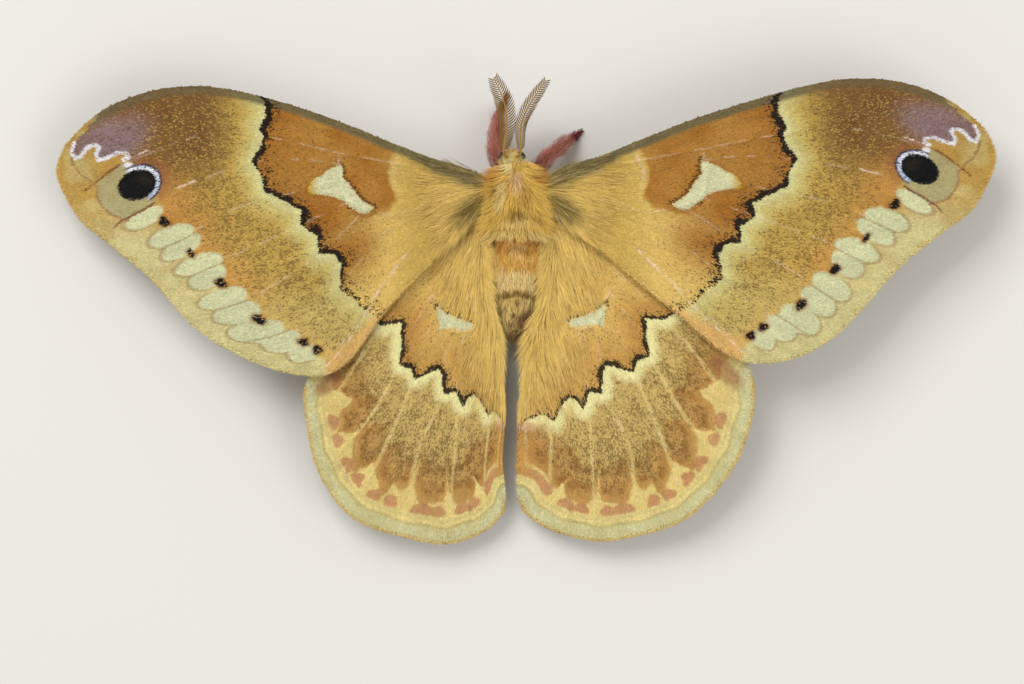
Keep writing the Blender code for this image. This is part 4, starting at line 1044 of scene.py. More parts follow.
THORAX_CENTRE = (0.0, 11.2, 5.6)
THORAX_SEMI = (2.65, 3.5, 2.35)
THORAX_BACK = 5.2
HEAD_CENTRE = (-0.4, 15.1, 4.9)
HEAD_SEMI = (1.2, 1.2, 1.25)
HEAD_COAT = (0.3, 0.42, 0.3)
EYE_RADIUS = 0.62
EYE_OUT = 0.76
EYE_AHEAD = 0.4
PALP_WAY = ((-0.1, -1.1), (0.6, -1.3), (1.2, -1.45))
PALP_OUT = 0.32
WAIST_Y = 8.2
ABDOMEN_LENGTH = 11.0
ABDOMEN_ROOT_Z = 5.2
ABDOMEN_TIP_Z = 2.9
ABDOMEN_RADIUS = 2.4
ABDOMEN_RINGS = 7
INNER_HAIRS = 1300
COAT_DEPTH = 0.16
VOXEL = 0.09
HIP_Z = 3.3
FOOT_Z = 0.2
COXA_LENGTH = 0.75
LEG_RADII = (0.36, 0.38, 0.42, 0.33, 0.38, 0.27, 0.2, 0.17)
LEG_JOINTS = {
    "front_left": ((-1.05, 13.0), (-2.1, 15.9, 3.3), (-1.9, 19.3, 1.5), (-0.9, 22.1)),
    "front_right": ((1.05, 13.0), (3.2, 15.6, 3.1), (5.3, 17.3, 1.5), (6.6, 18.3)),
    "mid_left": ((-1.45, 11.0), (-4.9, 12.6, 4.0), (-8.2, 10.9, 1.6), (-10.4, 9.8)),
    "mid_right": ((1.45, 11.0), (4.9, 12.6, 4.0), (8.2, 10.9, 1.6), (10.4, 9.8)),
    "hind_left": ((-1.2, 9.2), (-4.4, 5.2, 4.0), (-6.2, 0.4, 1.7), (-7.2, -3.4)),
    "hind_right": ((1.2, 9.2), (4.4, 5.2, 4.0), (6.2, 0.4, 1.7), (7.2, -3.4)),
}
ANTENNA_WAYS = {
    "left": ((-0.9, 18.6, 7.2), (-1.2, 20.9, 7.9), (-2.2, 23.3, 8.6)),
    "right": ((0.5, 18.6, 7.2), (1.4, 20.7, 7.9), (3.0, 23.0, 8.6)),
}
ANTENNA_BASE = (0.5, 0.5)
ANTENNA_SEED = 70
RAY_START = 1.35
RAY_STEP = 0.265
RAY_LENGTH = 1.4
RAY_SLANT = 0.45
RAY_WIDTHS = (0.065, 0.068, 0.062, 0.05, 0.025)
RAY_REACH = {"left": 0.78, "right": 0.55}
RAY_DROOP = {"left": 0.7, "right": 0.95}
STEM_RADIUS = (0.13, 0.05)
BRISTLE_WIDTH = 0.009
# A claw's way ahead, aside and up from the foot's end
CLAW_WAY = ((-0.1, 0.04, 0.0), (0.12, 0.1, 0.05), (0.26, 0.16, 0.0), (0.34, 0.18, -0.14))
CLAW_WIDTHS = (0.05, 0.055, 0.04, 0.01)


def loft(centres, radii, around=20):
    """A closed tube along a line with a radius at each station, as places and triangles."""
    centres = np.asarray(centres, dtype=float)
    along = unit(np.gradient(centres, axis=0))
    side = np.cross(along[0], (0.31, 0.17, 0.93))
    turn = np.arange(around) * 2 * math.pi / around
    rings = []
    for centre, way, radius in zip(centres, along, radii):
        side = unit(side - way * (side @ way))
        round_it = np.outer(np.cos(turn), side) + np.outer(np.sin(turn), np.cross(way, side))
        rings.append(centre + radius * round_it)
    places = np.vstack(rings + [centres[:1], centres[-1:]])
    faces = []
    after = (np.arange(around) + 1) % around
    for ring in range(len(rings) - 1):
        near, next_near = ring * around + np.arange(around), ring * around + after
        faces += [np.column_stack([near, next_near, next_near + around])]
        faces += [np.column_stack([near, next_near + around, near + around])]
    first, last = len(places) - 2, (len(rings) - 1) * around
    faces.append(np.column_stack([after, np.arange(around), np.full(around, first)]))
    faces.append(np.column_stack([last + np.arange(around), last + after, np.full(around, first + 1)]))
    return places, np.vstack(faces)


def ball(centre, semi, back=None):
    """An egg, with its own length behind the middle."""
    turn = np.linspace(0.02, math.pi - 0.02, 24)
    places, faces = loft(np.column_stack([turn * 0, -np.cos(turn), turn * 0]), np.sin(turn), 32)
    lengths = np.where(places[:, 1] > 0, semi[1], back or semi[1])
    return places * np.column_stack([lengths * 0 + semi[0], lengths, lengths * 0 + semi[2]]) + centre, faces


def stacked(shapes):
    """Several shapes as one set of places and triangles."""
    offsets = np.cumsum([0] + [len(places) for places, _ in shapes])
    return np.vstack([places for places, _ in shapes]), np.vstack(
        [faces + offset for (_, faces), offset in zip(shapes, offsets)])


def fused(shapes):
    """One smooth closed surface round several overlapping shapes."""
    places, faces = stacked(shapes)
    mesh = bpy.data.meshes.new("fused")
    mesh.from_pydata(places.tolist(), [], faces.tolist())
    item = bpy.data.objects.new("fused", mesh)
    bpy.context.scene.collection.objects.link(item)
    remesh = item.modifiers.new("voxels", "REMESH")
    remesh.mode = "VOXEL"
    remesh.voxel_size = VOXEL
    bpy.context.view_layer.update()
    result = item.evaluated_get(bpy.context.evaluated_depsgraph_get()).to_mesh()
    result.calc_loop_triangles()
    places = np.empty(len(result.vertices) * 3)
    result.vertices.foreach_get("co", places)
    faces = np.empty(len(result.loop_triangles) * 3, dtype=np.int32)
    result.loop_triangles.foreach_get("vertices", faces)
    edges = np.empty(len(result.edges) * 2, dtype=np.int32)
    result.edges.foreach_get("vertices", edges)
    places, faces, edges = places.reshape(-1, 3), faces.reshape(-1, 3), edges.reshape(-1, 2)
    bpy.data.objects.remove(item, do_unlink=True)
    bpy.data.meshes.remove(mesh)
    count = np.bincount(edges.ravel(), minlength=len(places))[:, None]
    for _ in range(3):
        total = np.zeros_like(places)
        np.add.at(total, edges[:, 0], places[edges[:, 1]])
        np.add.at(total, edges[:, 1], places[edges[:, 0]])
        places = places * 0.4 + 0.6 * total / count
    return places, faces


ABDOMEN_SLOPE = math.atan2(ABDOMEN_ROOT_Z - ABDOMEN_TIP_Z, ABDOMEN_LENGTH)
ABDOMEN_WAY = np.array((0.0, -math.cos(ABDOMEN_SLOPE), -math.sin(ABDOMEN_SLOPE)))
ABDOMEN_START = np.array((0.0, WAIST_Y, ABDOMEN_ROOT_Z))


def abdomen_radius(share):
    """Radius along the abdomen, each ring widest at its hind edge."""
    swell = 0.86 + 0.14 * np.sin(math.pi * np.minimum(1.0, share / 0.6))
    narrow = 1.0 - 0.34 * np.maximum(0.0, (share - 0.4) / 0.6) ** 1.5
    blunt = np.sqrt(np.maximum(0.0, 1.0 - np.maximum(0.0, (share - 0.82) / 0.18) ** 2))
    ring = 0.16 * (ABDOMEN_RINGS * share % 1.0) ** 1.5
    return (ABDOMEN_RADIUS * swell * narrow - 0.1 - COAT_DEPTH - 0.1 + ring) * blunt


def leg_line(name):
    """Hip, coxa, knee, shin and foot as a smooth line, with the radius at each place."""
    hip, knee, shin, foot = LEG_JOINTS[name]
    hip, knee, shin, foot = (np.array(spot) for spot in ((*hip, HIP_Z), knee, shin, (*foot, FOOT_Z)))
    ankle = shin + (foot - shin) * 0.55
    ankle[2] = FOOT_Z + 0.1
    coxa = hip - (0.0, 0.0, COXA_LENGTH)
    line = [hip + (0.0, 0.0, 1.0), hip, coxa, (coxa + knee) / 2, knee, (knee + shin) / 2, shin, ankle, foot]
    return np.array(line), np.array((LEG_RADII[0], *LEG_RADII))


def leg_shape(name):
    """A leg with rings along its foot."""
    knots, radii = leg_line(name)
    steps = walked(knots)
    along = np.linspace(0.0, steps[-1], 90)
    thick = np.interp(along, steps, radii)
    toes = np.clip((along - steps[-3]) / (steps[-1] - steps[-3]), 0.0, 1.0)
    thick *= 1.0 + 0.1 * np.sin(toes * 10 * math.pi - 1.0) * (toes > 0) * (toes < 1)
    thick[-2:] *= (0.85, 0.5)
    return loft(at(knots, along), thick, 14)


def palp_line(sign):
    """Middle line of the palp on one side of the head."""
    return np.array([np.array(HEAD_CENTRE) + (sign * PALP_OUT, ahead, up) for ahead, up in PALP_WAY])


def body_skin():
    """Thorax, head, palps, abdomen and legs as one closed skin."""
    head_semi = np.array(HEAD_SEMI) - HEAD_COAT
    thorax_semi = np.array(THORAX_SEMI) - 0.12
    shares = np.linspace(0.0, 0.995, 90)
    abdomen = loft(ABDOMEN_START + np.outer(shares * ABDOMEN_LENGTH, ABDOMEN_WAY), abdomen_radius(shares), 48)
    neck = loft(((0.0, 12.5, 5.2), (-0.2, 13.8, 5.0), HEAD_CENTRE), (1.5, 1.1, 0.8))
    waist = loft(((0.0, 10.5, 5.3), (0.0, 8.6, 5.2), (0.0, 7.2, 5.0)), (2.0, 1.95, 1.8), 32)
    thorax = ball(THORAX_CENTRE, thorax_semi, THORAX_BACK)
    shapes = [abdomen, neck, waist, thorax, ball(HEAD_CENTRE, head_semi)]
    for sign in (-1, 1):
        line = smooth_line(palp_line(sign), 0.2)
        shapes.append(loft(line, np.linspace(0.24, 0.15, len(line)), 12))
    shapes += [leg_shape(name) for name in LEG_JOINTS]
    return fused(shapes)


LEG_LINES = {name: leg_line(name)[0] for name in LEG_JOINTS}


def leg_places(points):
    """For each point the nearest leg, the share of the way along it, the gap to it and its direction."""
    best = np.full(len(points), np.inf)
    number = np.zeros(len(points), dtype=int)
    share = np.zeros(len(points))
    way = np.zeros_like(points)
    for index, line in enumerate(LEG_LINES.values()):
        gap, along = nearest(points, line)
        closer = gap < best
        best[closer] = gap[closer]
        number[closer] = index
        share[closer] = along[closer] / walked(line)[-1]
        way[closer] = unit(at(line, along + 0.3) - at(line, along - 0.3))[closer]
    return number, share, best, way


def body_parts(points):
    """The part of the body that each point is on: 0 thorax, 1 head, 2 abdomen or 3 leg."""
    def egg(centre, semi):
        return (np.linalg.norm((points - centre) / semi, axis=1) - 1) * min(semi)

    x, y, z = points.T
    back = (THORAX_SEMI[0], THORAX_BACK, THORAX_SEMI[2])
    thorax = np.where(y > THORAX_CENTRE[1], egg(THORAX_CENTRE, THORAX_SEMI), egg(THORAX_CENTRE, back))
    along = (points - ABDOMEN_START) @ ABDOMEN_WAY
    off = np.linalg.norm(points - ABDOMEN_START - np.outer(along, ABDOMEN_WAY), axis=1)
    abdomen = np.maximum(off - 2.2, -along * 1.5)
    palps = np.min([gap_to(points, palp_line(sign)) for sign in (-1, 1)], axis=0) - 0.3
    head = np.minimum(egg(HEAD_CENTRE, HEAD_SEMI), palps)
    legs = leg_places(points)[2] - 0.45
    legs = np.where((z > 3.1) & (np.abs(x) < 2.4) & (y < 14.2), 9.0, legs)
    return np.argmin([thorax, head, abdomen, legs], axis=0)


# Patches of the body's coat, one of them a painted shadow: colour, ellipse, soft edge and weight
BODY_PATCHES = (
    ("tuft", ((-0.9, 14.6), 0.6, 0.8), (-0.3, 0.3), 0.8),
    ("tuft", ((-1.6, 11.4), 0.5, 1.4, -10), (-0.4, 0.3), 0.5),
    ("sheen", ((0.0, 13.0), 0.7, 1.0), (-0.4, 0.3), 0.85),
    ("dark_patch_and_shadow", ((0.0, 9.55), 1.0, 0.6), (-0.35, 0.3), 0.7),
    ("dark_patch_and_shadow", ((2.1, 9.2), 0.5, 0.35), (-0.25, 0.2), 0.45),
    # Painted shadow: a thin dark slit of shade in a gap of the hair by the left shoulder
    ("dark_patch_and_shadow", ((-2.1, 12.35), 0.16, 0.5, -20), (-0.16, 0.1), 0.9),
    ("pink_band", ((0.0, 8.75), 1.5, 0.35), (-0.25, 0.15), 0.9),
)
ABDOMEN_SPOTS = ((0.1, 0.8), (-0.3, -0.5), (-0.6, -1.5))


def body_colours(points, parts):
    """Colours of the coat at places on the body."""
    x, y, z = points.T
    flat = points[:, :2]
    cloud = noise(flat, 1.1, 41)
    colours = np.tile(INK["thorax"], (len(points), 1))
    lay(colours, "shoulder", ramp(np.abs(x), 1.2, 2.4) * ramp(y, 12.0, 13.4) * 0.85)
    lay(colours, "shoulder", ramp(cloud, 0.55, 0.85) * 0.35)
    for name, shape, edge, weight in BODY_PATCHES:
        lay(colours, name, oval(flat, shape, *edge) * weight)
    lay(colours, "tuft", ramp(y, 8.3, 7.9) * ramp(y, 6.4, 7.2) * 0.35)
    lay(colours, "abdomen_orange", ramp(y, 7.4, 6.6) * ramp(y, 5.6, 6.0) * 0.8)
    lay(colours, "hair_light", ramp(z, 4.6, 3.2) * 0.5)
    abdomen_colours(colours, points, parts == 2, cloud)
    layers(
        colours, parts == 1,
        ("tuft", 0.25 + 0.5 * (noise(flat, 0.5, 43) > 0.5)),
        ("leg_light", ramp(z, 4.4, 3.6) * 0.6),
    )
    layers(
        colours, parts == 3,
        ("leg", 1.0),
        ("leg_light", (cloud > 0.55) * 0.4),
        ("leg_dark", ramp(leg_places(points)[1], 0.76, 0.9) * 0.9),
    )
    return colours


def abdomen_colours(colours, points, belly, cloud):
    """The bands, rings and spots of the abdomen."""
    x, y, z = points.T
    flat = points[:, :2]
    y = y + 0.13 * x ** 2 * belly + 0.3 * (noise(flat, 0.7, 42) - 0.5)
    layers(
        colours, belly,
        ("abdomen_orange", 1.0),
        ("abdomen", ramp(y, 6.8, 5.2) * 0.85),
        ("tuft", ramp(y, 5.9, 5.3) * ramp(cloud, 0.3, 0.8) * 0.3),
        ("abdomen_pink", ramp(np.abs(y - 3.0), 1.3, 0.7) * 0.9),
        ("abdomen_low", ramp(y, 2.2, 1.0)),
        ("ring", ramp(np.abs(y - 1.65), 0.3, 0.1) * ramp(np.abs(x), 1.9, 1.2) * 0.8),
        ("ring", ramp(np.abs(y - 6.1), 0.3, 0.08) * ramp(np.abs(x), 1.6, 0.8) * 0.4),
        ("tuft", ramp(noise(flat, 0.8, 44), 0.45, 0.85) * ramp(y, 2.5, 4.5) * 0.2),
    )
    for spot_x, spot_y in ABDOMEN_SPOTS:
        lay(colours, "ring", belly * ramp(np.hypot(x - spot_x, y - spot_y), 0.36, 0.12) * (z > 3) * 0.85)
    layers(
        colours, belly,
        ("abdomen_tip", oval(flat, ((1.0, -1.1), 1.1, 0.8, 40), -0.5, 0.3) * 0.75),
        ("abdomen_tip", ramp(y, -1.7, -2.5) * 0.7),
        ("hair_light", ramp(z, 3.4, 2.4) * 0.45),
    )


def coat_ways(points, facing, parts):
    """The way the hair points at places on the body."""
    x, y, _ = points.T
    shoulder = ramp(y, 9.5, 12.5) * ramp(np.abs(x), 0.8, 2.0)
    ruff = ramp(y, 13.0, 14.2)
    outwards = np.sign(x) * np.minimum(np.abs(x) / 1.6, 1.0) * (0.28 + 1.3 * shoulder + 0.6 * ruff)
    ways = np.column_stack([outwards, -1.0 + 1.1 * ruff, 0.15 + 0.5 * ruff + 0.3 * shoulder])
    head = parts == 1
    ways[head] = np.column_stack([(x + 0.4) * 0.7, x * 0 + 1.0, 0.25 - 0.5 * ramp(y, 15.2, 16.2)])[head]
    ways[parts == 2] = ABDOMEN_WAY
    ways[parts == 3] = leg_places(points)[3][parts == 3]
    return unit(ways - facing * np.sum(ways * facing, axis=1)[:, None])


def turn_share(across, up):
    """Share of a turn round a middle line."""
    return np.arctan2(across, up) / (2 * math.pi) + 0.5


def unwrap_body(points, parts):
    """Places on the bake map: round the body and along it, or one strip for each leg."""
    x, y, z = points.T
    middle = np.where(y > WAIST_Y, THORAX_CENTRE[2], ABDOMEN_ROOT_Z - (WAIST_Y - y) * math.tan(ABDOMEN_SLOPE))
    flat = np.column_stack([turn_share(x, z - middle), (y + 4.5) / 22.0])
    number, share, _, _ = leg_places(points)
    line_x = x - np.array([line[:, 0].mean() for line in LEG_LINES.values()])[number]
    strip = np.column_stack([(number + 0.1 + 0.8 * turn_share(line_x, z - 2.0)) / len(LEG_LINES), share])
    return 0.01 + 0.98 * np.where((parts == 3)[:, None], strip, flat)


# Each coat: how many hairs, stations, length, height over the skin, half width, clump size, pull and stray
COATS = {
    "thorax": (10500, 5, 2.1, 0.9, 0.018, 14, 0.42, 0.34),
    "head": (4200, 4, 1.0, 0.45, 0.015, 8, 0.4, 0.5),
    "abdomen": (9500, 4, 1.0, 0.42, 0.017, 10, 0.4, 0.28),
    "leg": (8500, 4, 0.85, 0.34, 0.016, 8, 0.45, 0.3),
}
COAT_RISE = {4: (0.0, 0.75, 1.0, 0.9), 5: (0.0, 0.6, 0.95, 1.0, 0.85)}
COAT_SEED = 500
# Painted shade and light along each hair: darker at its root, lighter at its tip
ROOT_SHADE = 0.84
TIP_SHADE = 1.1
LOWEST_HAIR = 0.004


def grow(tree, roots, ways, lengths, heights):
    """Paths of hairs that lie along the skin at given heights over it, and the way the skin faces there."""
    paths = np.empty((len(roots), len(heights[0]), 3))
    facings = np.empty_like(paths)
    for index, (root, way, length, rises) in enumerate(zip(roots, ways, lengths, heights)):
        spot, way = Vector(root), Vector(way)
        for station, rise in enumerate(rises):
            near, facing, _, _ = tree.find_nearest(spot)
            way = (way - facing * way.dot(facing)).normalized()
            paths[index, station] = near + facing * rise
            facings[index, station] = facing
            spot = near + way * (length / (len(rises) - 1))
    return paths, facings


def clump(paths, roots, every, pull, rng):
    """Bend hairs towards the nearest of a few leading hairs, more and more to their tips."""
    leaders = rng.choice(len(roots), max(1, len(roots) // every), replace=False)
    tree = KDTree(len(leaders))
    for place, leader in enumerate(leaders):
        tree.insert(roots[leader], place)
    tree.balance()
    chosen = leaders[[tree.find(root)[1] for root in roots]]
    weight = (np.linspace(0.0, 1.0, paths.shape[1]) * pull)[None, :, None]
    target = paths[chosen] + 0.2 * (paths[:, :1] - paths[chosen][:, :1])
    return paths * (1 - weight) + target * weight, chosen


def hair_mesh(name, paths, facings, half_width, colours, bake_roots, slot):
    """One mesh of tapering hairs with their colours and bake map."""
    stations = paths.shape[1]
    taper = np.sin(np.linspace(0.22, 0.97, stations) * math.pi)[None, :, None] * half_width[:, None, None]
    places, faces, size = hairs(paths, facings, taper, 1.1)
    # Painted shade at each hair's root and painted light at its tip
    shade = np.linspace(ROOT_SHADE, TIP_SHADE, stations)
    shades = np.concatenate([shade[:1], np.repeat(shade[1:-1], 3), shade[-1:]])
    tinted = (colours[:, None, :] * shades[None, :, None]).reshape(-1, 3)
    places[:, 2] = np.maximum(places[:, 2], LOWEST_HAIR)
    settle(new_mesh(name, places, faces, tinted, HAIR, bake_patches(bake_roots, size)), slot)


def on_faces(corners, rng):
    """One random place on each of some triangles."""
    mix = np.sqrt(rng.random(len(corners)))
    share = rng.random(len(corners))
    weights = np.column_stack([1 - mix, mix * (1 - share), mix * share])
    return corners[:, 0] * weights[:, :1] + corners[:, 1] * weights[:, 1:2] + corners[:, 2] * weights[:, 2:]


def fitted(name, roots, lengths, heights):
    """Lengths and heights of a part's hair, changed where its coat is shorter or fuller."""
    x, y, _ = roots.T
    if name == "thorax":
        rear = ramp(y, 10.2, 9.0) * ramp(np.abs(x), 2.2, 1.2)
        front = ramp(y, 13.0, 14.2) * ramp(np.abs(x), 2.4, 1.6)
        lengths = lengths * (1 - 0.45 * front - 0.55 * rear)
    if name == "abdomen":
        heights = heights * (1 + 0.9 * ramp(y, 0.5, -1.5))
    if name == "leg":
        number, share, _, _ = leg_places(roots)
        front = number < FRONT_LEGS
        shrink = np.where(front, 1 - 0.5 * ramp(share, 0.8, 0.95), 1 - 0.62 * ramp(share, 0.62, 0.85))
        full = 1 + 1.1 * front * ramp(share, 0.15, 0.35) * ramp(share, 0.8, 0.6)
        lengths = lengths * (shrink * full)
        heights = heights * (shrink * (full + 0.9 * front * ramp(share, 0.8, 0.9)))
    return lengths, heights


def body_coats(places, faces):
    """Hair over every part of the body's skin."""
    tree = BVHTree.FromPolygons(places.tolist(), faces.tolist())
    corners = places[faces]
    normals = np.cross(corners[:, 1] - corners[:, 0], corners[:, 2] - corners[:, 0])
    areas = np.linalg.norm(normals, axis=1)
    face_parts = body_parts(corners.mean(axis=1))
    for part, (name, values) in enumerate(COATS.items()):
        count, stations, length, height, half_width, every, pull, stray = values
        rng = np.random.default_rng(COAT_SEED + part)
        weights = areas * (face_parts == part)
        chosen = rng.choice(len(faces), count, p=weights / weights.sum())
        roots = on_faces(corners[chosen], rng)
        facing = unit(normals[chosen])
        parts = np.full(count, part)
        ways = unit(coat_ways(roots, facing, parts) + rng.normal(0.0, stray, (count, 3)))
        lengths = length * rng.uniform(0.7, 1.2, count)
        heights = height * rng.uniform(0.35, 1.15, count)
        lengths, heights = fitted(name, roots, lengths, heights)
        paths, facings = grow(tree, roots, ways, lengths, heights[:, None] * np.array(COAT_RISE[stations]))
        if name == "thorax":
            paths = loosened(paths, roots, lengths, rng)
        if name == "head":
            paths = ruffled(paths, roots, facing, ways, lengths, rng)
        paths, leaders = clump(paths, roots, every, pull, rng)
        colours = body_colours(paths[:, 2], parts)
        colours *= (rng.normal(1.0, 0.07, count)[leaders] * rng.normal(1.0, 0.08, count))[:, None]
        slot = "leg" if name == "leg" else name + "_coat"
        half = half_width * rng.uniform(0.7, 1.3, count)
        hair_mesh(name + "_hair", paths, facings, half, colours, unwrap_body(roots, parts), slot)


def freed(paths, roots, reach, lengths, weight, sag=0.0):
    """Hairs drawn part of the way from their paths to straight ones that leave the skin."""
    share = np.linspace(0.0, 1.0, paths.shape[1])
    free = roots[:, None] + reach[:, None] * (lengths[:, None] * share)[:, :, None]
    free[:, :, 2] -= sag * share ** 2
    return paths * (1 - weight) + free * weight


def loosened(paths, roots, lengths, rng):
    """Hair on the sides of the thorax let go of the skin, so that it spreads over the wing bases."""
    x, y, z = roots.T
    share = np.linspace(0.0, 1.0, paths.shape[1])
    collar = ramp(y, 12.4, 13.6)
    loose = ramp(np.abs(x) + collar, 0.8, 2.1) * ramp(z, 5.0, 5.9) * ramp(y, 15.4, 14.7)
    loose = loose * rng.uniform(0.45, 1.0, len(x))
    aside = np.sign(x) * (1.1 + 0.6 * collar)
    reach = np.column_stack([aside, -0.75 + 0.8 * ramp(y, 9.5, 13.8), 0.3 - 0.1 * collar])
    reach += rng.normal(0.0, 0.2, reach.shape)
    weight = (loose[:, None] * share ** 0.6)[:, :, None]
    return freed(paths, roots, reach, np.maximum(lengths, 1.5), weight, sag=0.45)


def ruffled(paths, roots, facing, ways, lengths, rng):
    """Hair of the head half on end, each its own way."""
    share = np.linspace(0.0, 1.0, paths.shape[1])
    reach = facing * 0.55 + ways * (0.3, 0.1, 0.3) + rng.normal(0.0, 0.3, facing.shape)
    reach[:, 1] -= 0.25 * ramp(roots[:, 1], 14.8, 15.8)
    return freed(paths, roots, reach, lengths, (0.75 * share ** 0.7)[None, :, None])


# Box on the plan of each wing in which its long hair grows, and how far down the hindwing's inner side
HAIR_BOXES = {"fore": ((2.0, 6.0), (12.0, 17.0)), "hind": ((-0.2, -14.0), (11.0, 9.9))}
INNER_END = -14.0
TRIES = 14


def hair_places(wing, count, rng):
    """Random places for the hair at the base of a wing, first those down the inner side."""
    plan = rng.uniform(*HAIR_BOXES[wing.kind], (count * TRIES, 2))
    if wing.kind == "fore":
        return plan
    border = HIND_INNER[rng.integers(0, len(HIND_INNER), count)]
    border = border + rng.uniform((0.1, -0.3), (0.8, 0.3), (count, 2))
    return np.vstack([border[border[:, 1] > INNER_END][:INNER_HAIRS], plan])


def hair_lie(wing, plan, seed):
    """How thick and long the hair is at places on a wing, 0 to 1, and the way that it points there."""
    x, y = plan.T
    if wing.kind == "fore":
        behind = ramp(gap_to(plan, FORE_BACK), 1.4, 0.3) * ramp(x, 9.0, 5.0)
        keep = np.maximum(ramp(np.hypot(x - 2.7, y - 12.3), 8.5, 2.0), behind)
        return keep, wing.flow(plan, seed, 0.12) + behind[:, None] * (0.1, -0.9)
    inner = gap_to(plan, HIND_INNER)
    mark = ellipse(plan, (7.2, -0.4), 2.6, 1.6, 10)
    keep = ramp(x - 0.25 * y, 9.5, 3.0) * ramp(y, -12.0, -4.0) * ramp(mark + 1.2 * (y > 1), 0.0, 1.0)
    keep = np.maximum(keep, ramp(inner, 1.6, 0.2) * ramp(y, -11.5, -8.0))
    inwards = ramp(inner, 1.2, 0.2) * (0.35 + 0.65 * ramp(y, -7.0, 0.0))
    return keep, np.column_stack([0.12 + 0.05 * x - 1.1 * inwards, np.full(len(x), -1.0)])


def wing_hair(wing, count, seed):
    """Long silky hair over the base of a wing, lying along it."""
    rng = np.random.default_rng(seed)
    plan = hair_places(wing, count, rng)
    strength, way = hair_lie(wing, plan, seed + 1)
    chosen = inside(plan, inset(wing.outline, 0.2)) & (rng.random(len(plan)) < strength)
    chosen = np.flatnonzero(chosen)[:count]
    plan, strength = plan[chosen], strength[chosen]
    way = unit(way[chosen] + rng.normal(0.0, 0.1, plan.shape))
    lengths = (1.3 + 1.3 * strength) * rng.uniform(0.7, 1.2, len(plan))
    lift = (0.16 + 0.4 * strength) * rng.uniform(0.5, 1.1, len(plan))
    rest = wing.relief(plan) + SKIN_HALF
    stations = []
    for share, rise in zip(np.linspace(0, 1, 4), COAT_RISE[4]):
        stations.append(wing.place(plan + way * (lengths * share)[:, None], rest + lift * rise))
    paths = np.stack(stations, axis=1)
    paths, leaders = clump(paths, paths[:, 0], 12, 0.45, rng)
    middle = plan + way * lengths[:, None] * 0.6
    colours = wing.colours(middle, np.ones(len(plan)))
    if wing.kind == "hind":
        lay(colours, "hair", 0.45 + 0.4 * strength)
    else:
        greyed = np.maximum(olive_patch(middle), ramp(gap_to(middle, FORE_COSTA), 2.1, 1.2))
        lay(colours, "hair", (0.4 + 0.35 * strength) * (1 - 0.9 * greyed))
    lay(colours, "hair_light", (rng.random(len(plan)) < 0.25) * 0.5)
    colours *= (rng.normal(1.0, 0.05, len(plan))[leaders] * rng.normal(1.0, 0.06, len(plan)))[:, None]
    half = 0.017 * rng.uniform(0.7, 1.3, len(plan))
    hair_mesh(wing.name + "_hair", paths, UP, half, colours, wing.unwrap(plan, False), wing.slot)


def head_surface(out, ahead):
    """A place on top of the head, given outwards and ahead of its centre, and the way it faces."""
    semi = np.array(HEAD_SEMI)
    up = semi[2] * math.sqrt(1.0 - (out / semi[0]) ** 2 - (ahead / semi[1]) ** 2)
    offset = np.array((out, ahead, up))
    return np.array(HEAD_CENTRE) + offset, unit(offset / semi ** 2)


def ray_paths(line, side, rng):
    """Paths of the rays in two rows along a stem, drooping and curling forwards."""
    whole = walked(line)[-1]
    places = np.arange(RAY_START, whole - 0.05, RAY_STEP)
    paths = []
    for sign in (-1, 1):
        shift = places + RAY_STEP / 2 * (sign > 0)
        centre = at(line, shift)
        along = unit(at(line, shift + 0.1) - centre + (0.0, 1e-6, 0.0))
        out = unit(np.cross(along, UP)) * sign
        part = (shift - places[0]) / (whole - places[0])
        length = RAY_LENGTH * (0.3 + 0.7 * np.sin(math.pi * np.clip(part * 0.92 + 0.06, 0, 1)) ** 0.6)
        length *= rng.uniform(0.94, 1.04, len(length))
        way = unit(out + along * RAY_SLANT)
        stations = []
        for reach in (0.0, 0.3, 0.62, 0.85, 1.0):
            spread = way * (length * reach * RAY_REACH[side])[:, None]
            curl = along * (0.38 * reach ** 2 * length)[:, None]
            droop = np.outer(RAY_DROOP[side] * reach ** 1.4 * length, UP)
            stations.append(centre + spread + curl - droop)
        paths.append(np.stack(stations, axis=1))
    return np.vstack(paths)


def antenna(side):
    """A comb-like antenna: a jointed stem with two rows of fine rays, each with short bristles."""
    sign = -1 if side == "left" else 1
    socket, facing = head_surface(sign * ANTENNA_BASE[0], ANTENNA_BASE[1])
    knots = np.vstack([socket - facing * 0.3, socket + facing * 0.8, ANTENNA_WAYS[side]])
    line = smooth_line(knots, 0.075)
    joints = 1.0 + 0.12 * np.cos(np.arange(len(line)) * math.pi / 2)
    stem = loft(line, np.linspace(*STEM_RADIUS, len(line)) * joints, 12)
    rng = np.random.default_rng(ANTENNA_SEED + sign)
    paths = ray_paths(line, side, rng)
    bristles = ray_bristles(paths, rng)
    rays = hairs(paths, UP, np.array(RAY_WIDTHS)[None, :, None], 1.4)[:2]
    places, faces = stacked([stem, rays, bristles])
    tints = np.tile(INK["antenna"], (len(places), 1))
    tints[:len(stem[0])] = INK["antenna_light"]
    tints[-len(bristles[0]):] = INK["antenna"] * 0.9
    item = new_mesh(f"antenna_{side}_comb", places, faces, tints, ANTENNA)
    settle(item, "antenna", "antenna_" + side)


def ray_bristles(paths, rng):
    """Short bristles along the rays, pointing to both sides and forwards."""
    found = []
    for spot in np.linspace(0.12, 0.96, 9) * 4:
        index = min(3, int(spot))
        step = paths[:, index + 1] - paths[:, index]
        start = paths[:, index] + step * (spot - index)
        along = unit(step)
        for sign in (-1, 1):
            out = unit(np.cross(along, UP)) * sign
            tip = start + (out * 0.75 + along * 0.6 + rng.normal(0, 0.12, start.shape)) * 0.1
            found.append(np.stack([start, (start + tip) / 2, tip], axis=1))
    found = np.vstack(found)
    along = unit(found[:, 2] - found[:, 0])[:, None, :]
    up = np.tile(UP, (len(found), 3, 1)) * BRISTLE_WIDTH
    return blades(found, unit(np.cross(along, up)) * BRISTLE_WIDTH, up)[:2]


